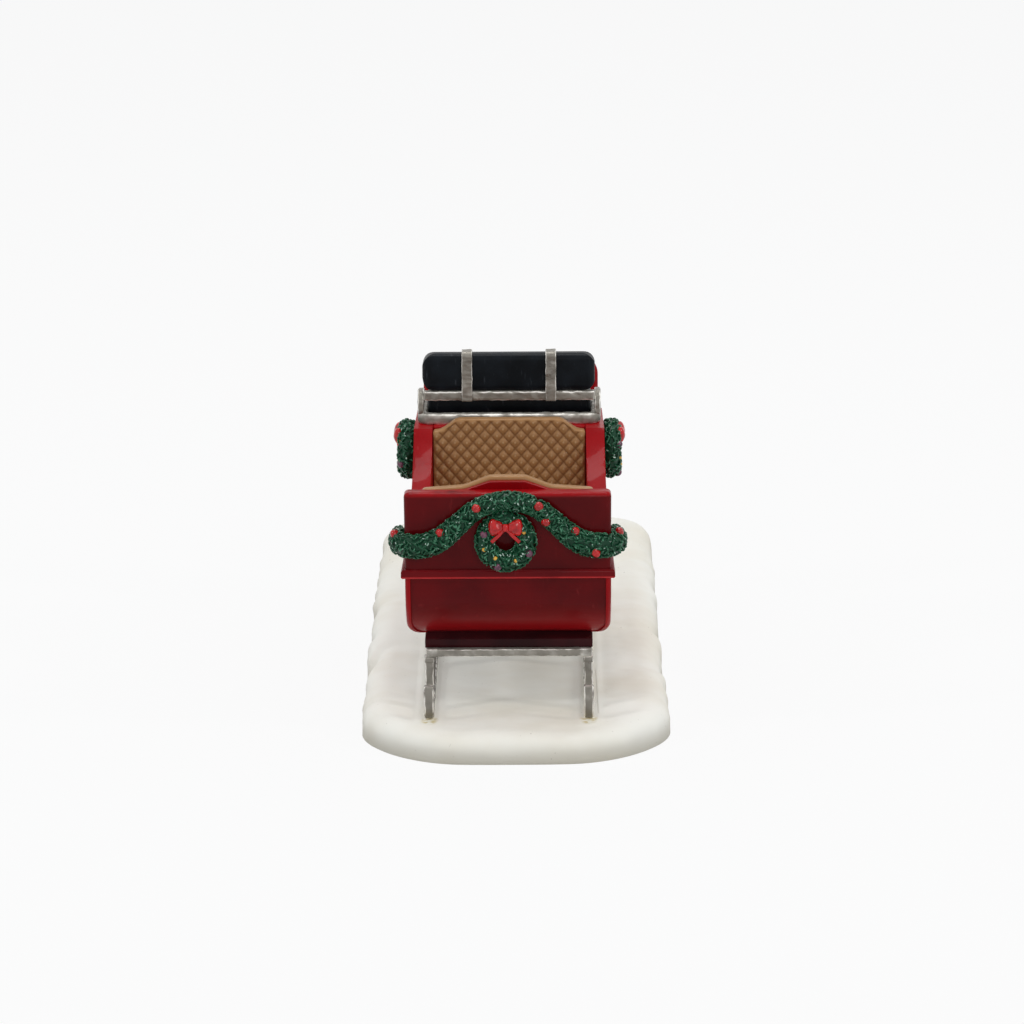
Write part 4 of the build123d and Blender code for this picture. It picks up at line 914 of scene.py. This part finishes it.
def seen(tree):
    """1 for rays from the camera, from a mirror and through glass, and 0 for the rays that light the object."""
    rays = tree.nodes.new("ShaderNodeLightPath")
    total = rays.outputs["Is Camera Ray"]
    for kind in ("Is Glossy Ray", "Is Transmission Ray"):
        step = tree.nodes.new("ShaderNodeMath")
        step.operation = "MAXIMUM"
        tree.links.new(total, step.inputs[0])
        tree.links.new(rays.outputs[kind], step.inputs[1])
        total = step.outputs[0]
    return total


def pale(name, share):
    """White for the camera and for mirrors, with enough of the plain floor left to show the shadow."""
    material = bpy.data.materials.new(name)
    material.use_nodes = True
    tree = material.node_tree
    shader = tree.nodes["Principled BSDF"]
    shader.inputs["Base Color"].default_value = (0.7, 0.7, 0.7, 1)
    shader.inputs["Roughness"].default_value = 0.9
    glint_share, mix = tree.nodes.new("ShaderNodeEmission"), tree.nodes.new("ShaderNodeMixShader")
    scale = tree.nodes.new("ShaderNodeMath")
    scale.operation = "MULTIPLY"
    scale.inputs[1].default_value = share
    tree.links.new(seen(tree), scale.inputs[0])
    tree.links.new(scale.outputs[0], mix.inputs[0])
    tree.links.new(shader.outputs[0], mix.inputs[1])
    tree.links.new(glint_share.outputs[0], mix.inputs[2])
    tree.links.new(mix.outputs[0], tree.nodes["Material Output"].inputs[0])
    return material


floor_mesh = bpy.data.meshes.new("floor")
floor_mesh.from_pydata([(-6, -6, 0), (6, -6, 0), (6, 6, 0), (-6, 6, 0)], [], [(0, 1, 2, 3)])
floor_mesh.materials.append(pale("floor", 0.88))
floor = bpy.data.objects.new("floor", floor_mesh)
bpy.context.scene.collection.objects.link(floor)

world = bpy.data.worlds.new("studio")
bpy.context.scene.world = world
world.use_nodes = True
nodes, links = world.node_tree.nodes, world.node_tree.links
backdrop, surround = nodes["Background"], nodes.new("ShaderNodeBackground")
backdrop.inputs["Strength"].default_value = 0.5
surround.inputs["Color"].default_value = (1, 1, 1, 1)
surround.inputs["Strength"].default_value = 1.0
backdrop.inputs["Color"].default_value = (0.95, 0.97, 1.0, 1)
mix = nodes.new("ShaderNodeMixShader")
links.new(seen(world.node_tree), mix.inputs[0])
links.new(backdrop.outputs[0], mix.inputs[1])
links.new(surround.outputs[0], mix.inputs[2])
links.new(mix.outputs[0], nodes["World Output"].inputs[0])


def stand(holder, right, above, back, spot):
    """Places a lamp or the camera by its own three directions."""
    holder.matrix_world = Matrix([*zip(right, above, back, spot), (0, 0, 0, 1)])


def soft_box(name, spot, size, power, shadow=True):
    """A square lamp that faces the middle of the sleigh. One without a shadow is a light tent's even fill."""
    lamp = bpy.data.lights.new(name, "AREA")
    lamp.shape, lamp.size, lamp.energy, lamp.use_shadow = "SQUARE", size, power, shadow
    holder = bpy.data.objects.new(name, lamp)
    spot = np.array(spot)
    forward = unit(np.array([0, -0.02, 0.04]) - spot)
    right = unit(np.cross(forward, (0.0, 0.02, 1.0)))
    stand(holder, right, np.cross(right, forward), -forward, spot)
    bpy.context.scene.collection.objects.link(holder)


soft_box("box_above", (0.0, 0.1, 1.1), 0.5, 4.7, shadow=False)
soft_box("box_left", (-0.75, -0.45, 0.55), 0.1, 1.2)
soft_box("box_right", (0.8, -0.4, 0.5), 0.1, 1.2)
soft_box("box_front", (0.35, -1.3, 0.5), 0.4, 2.1)

ELEVATION, TURN, ROLL, FOCUS = np.radians(14.0), np.radians(0.5), np.radians(0.4), 6400 / 1024
look = np.array([-np.sin(TURN) * np.cos(ELEVATION), np.cos(TURN) * np.cos(ELEVATION), -np.sin(ELEVATION)])
level = np.array([np.cos(TURN), np.sin(TURN), 0.0])
plumb = np.cross(level, look)
right, above = level * np.cos(ROLL) - plumb * np.sin(ROLL), level * np.sin(ROLL) + plumb * np.cos(ROLL)
camera = bpy.data.objects.new("camera", bpy.data.cameras.new("camera"))
camera.data.sensor_width, camera.data.lens = 36, 36 * FOCUS
spot = (0.0123, -1.5902, 0.4312)
stand(camera, right, above, -look, spot)
bpy.context.scene.collection.objects.link(camera)
bpy.context.scene.camera = camera
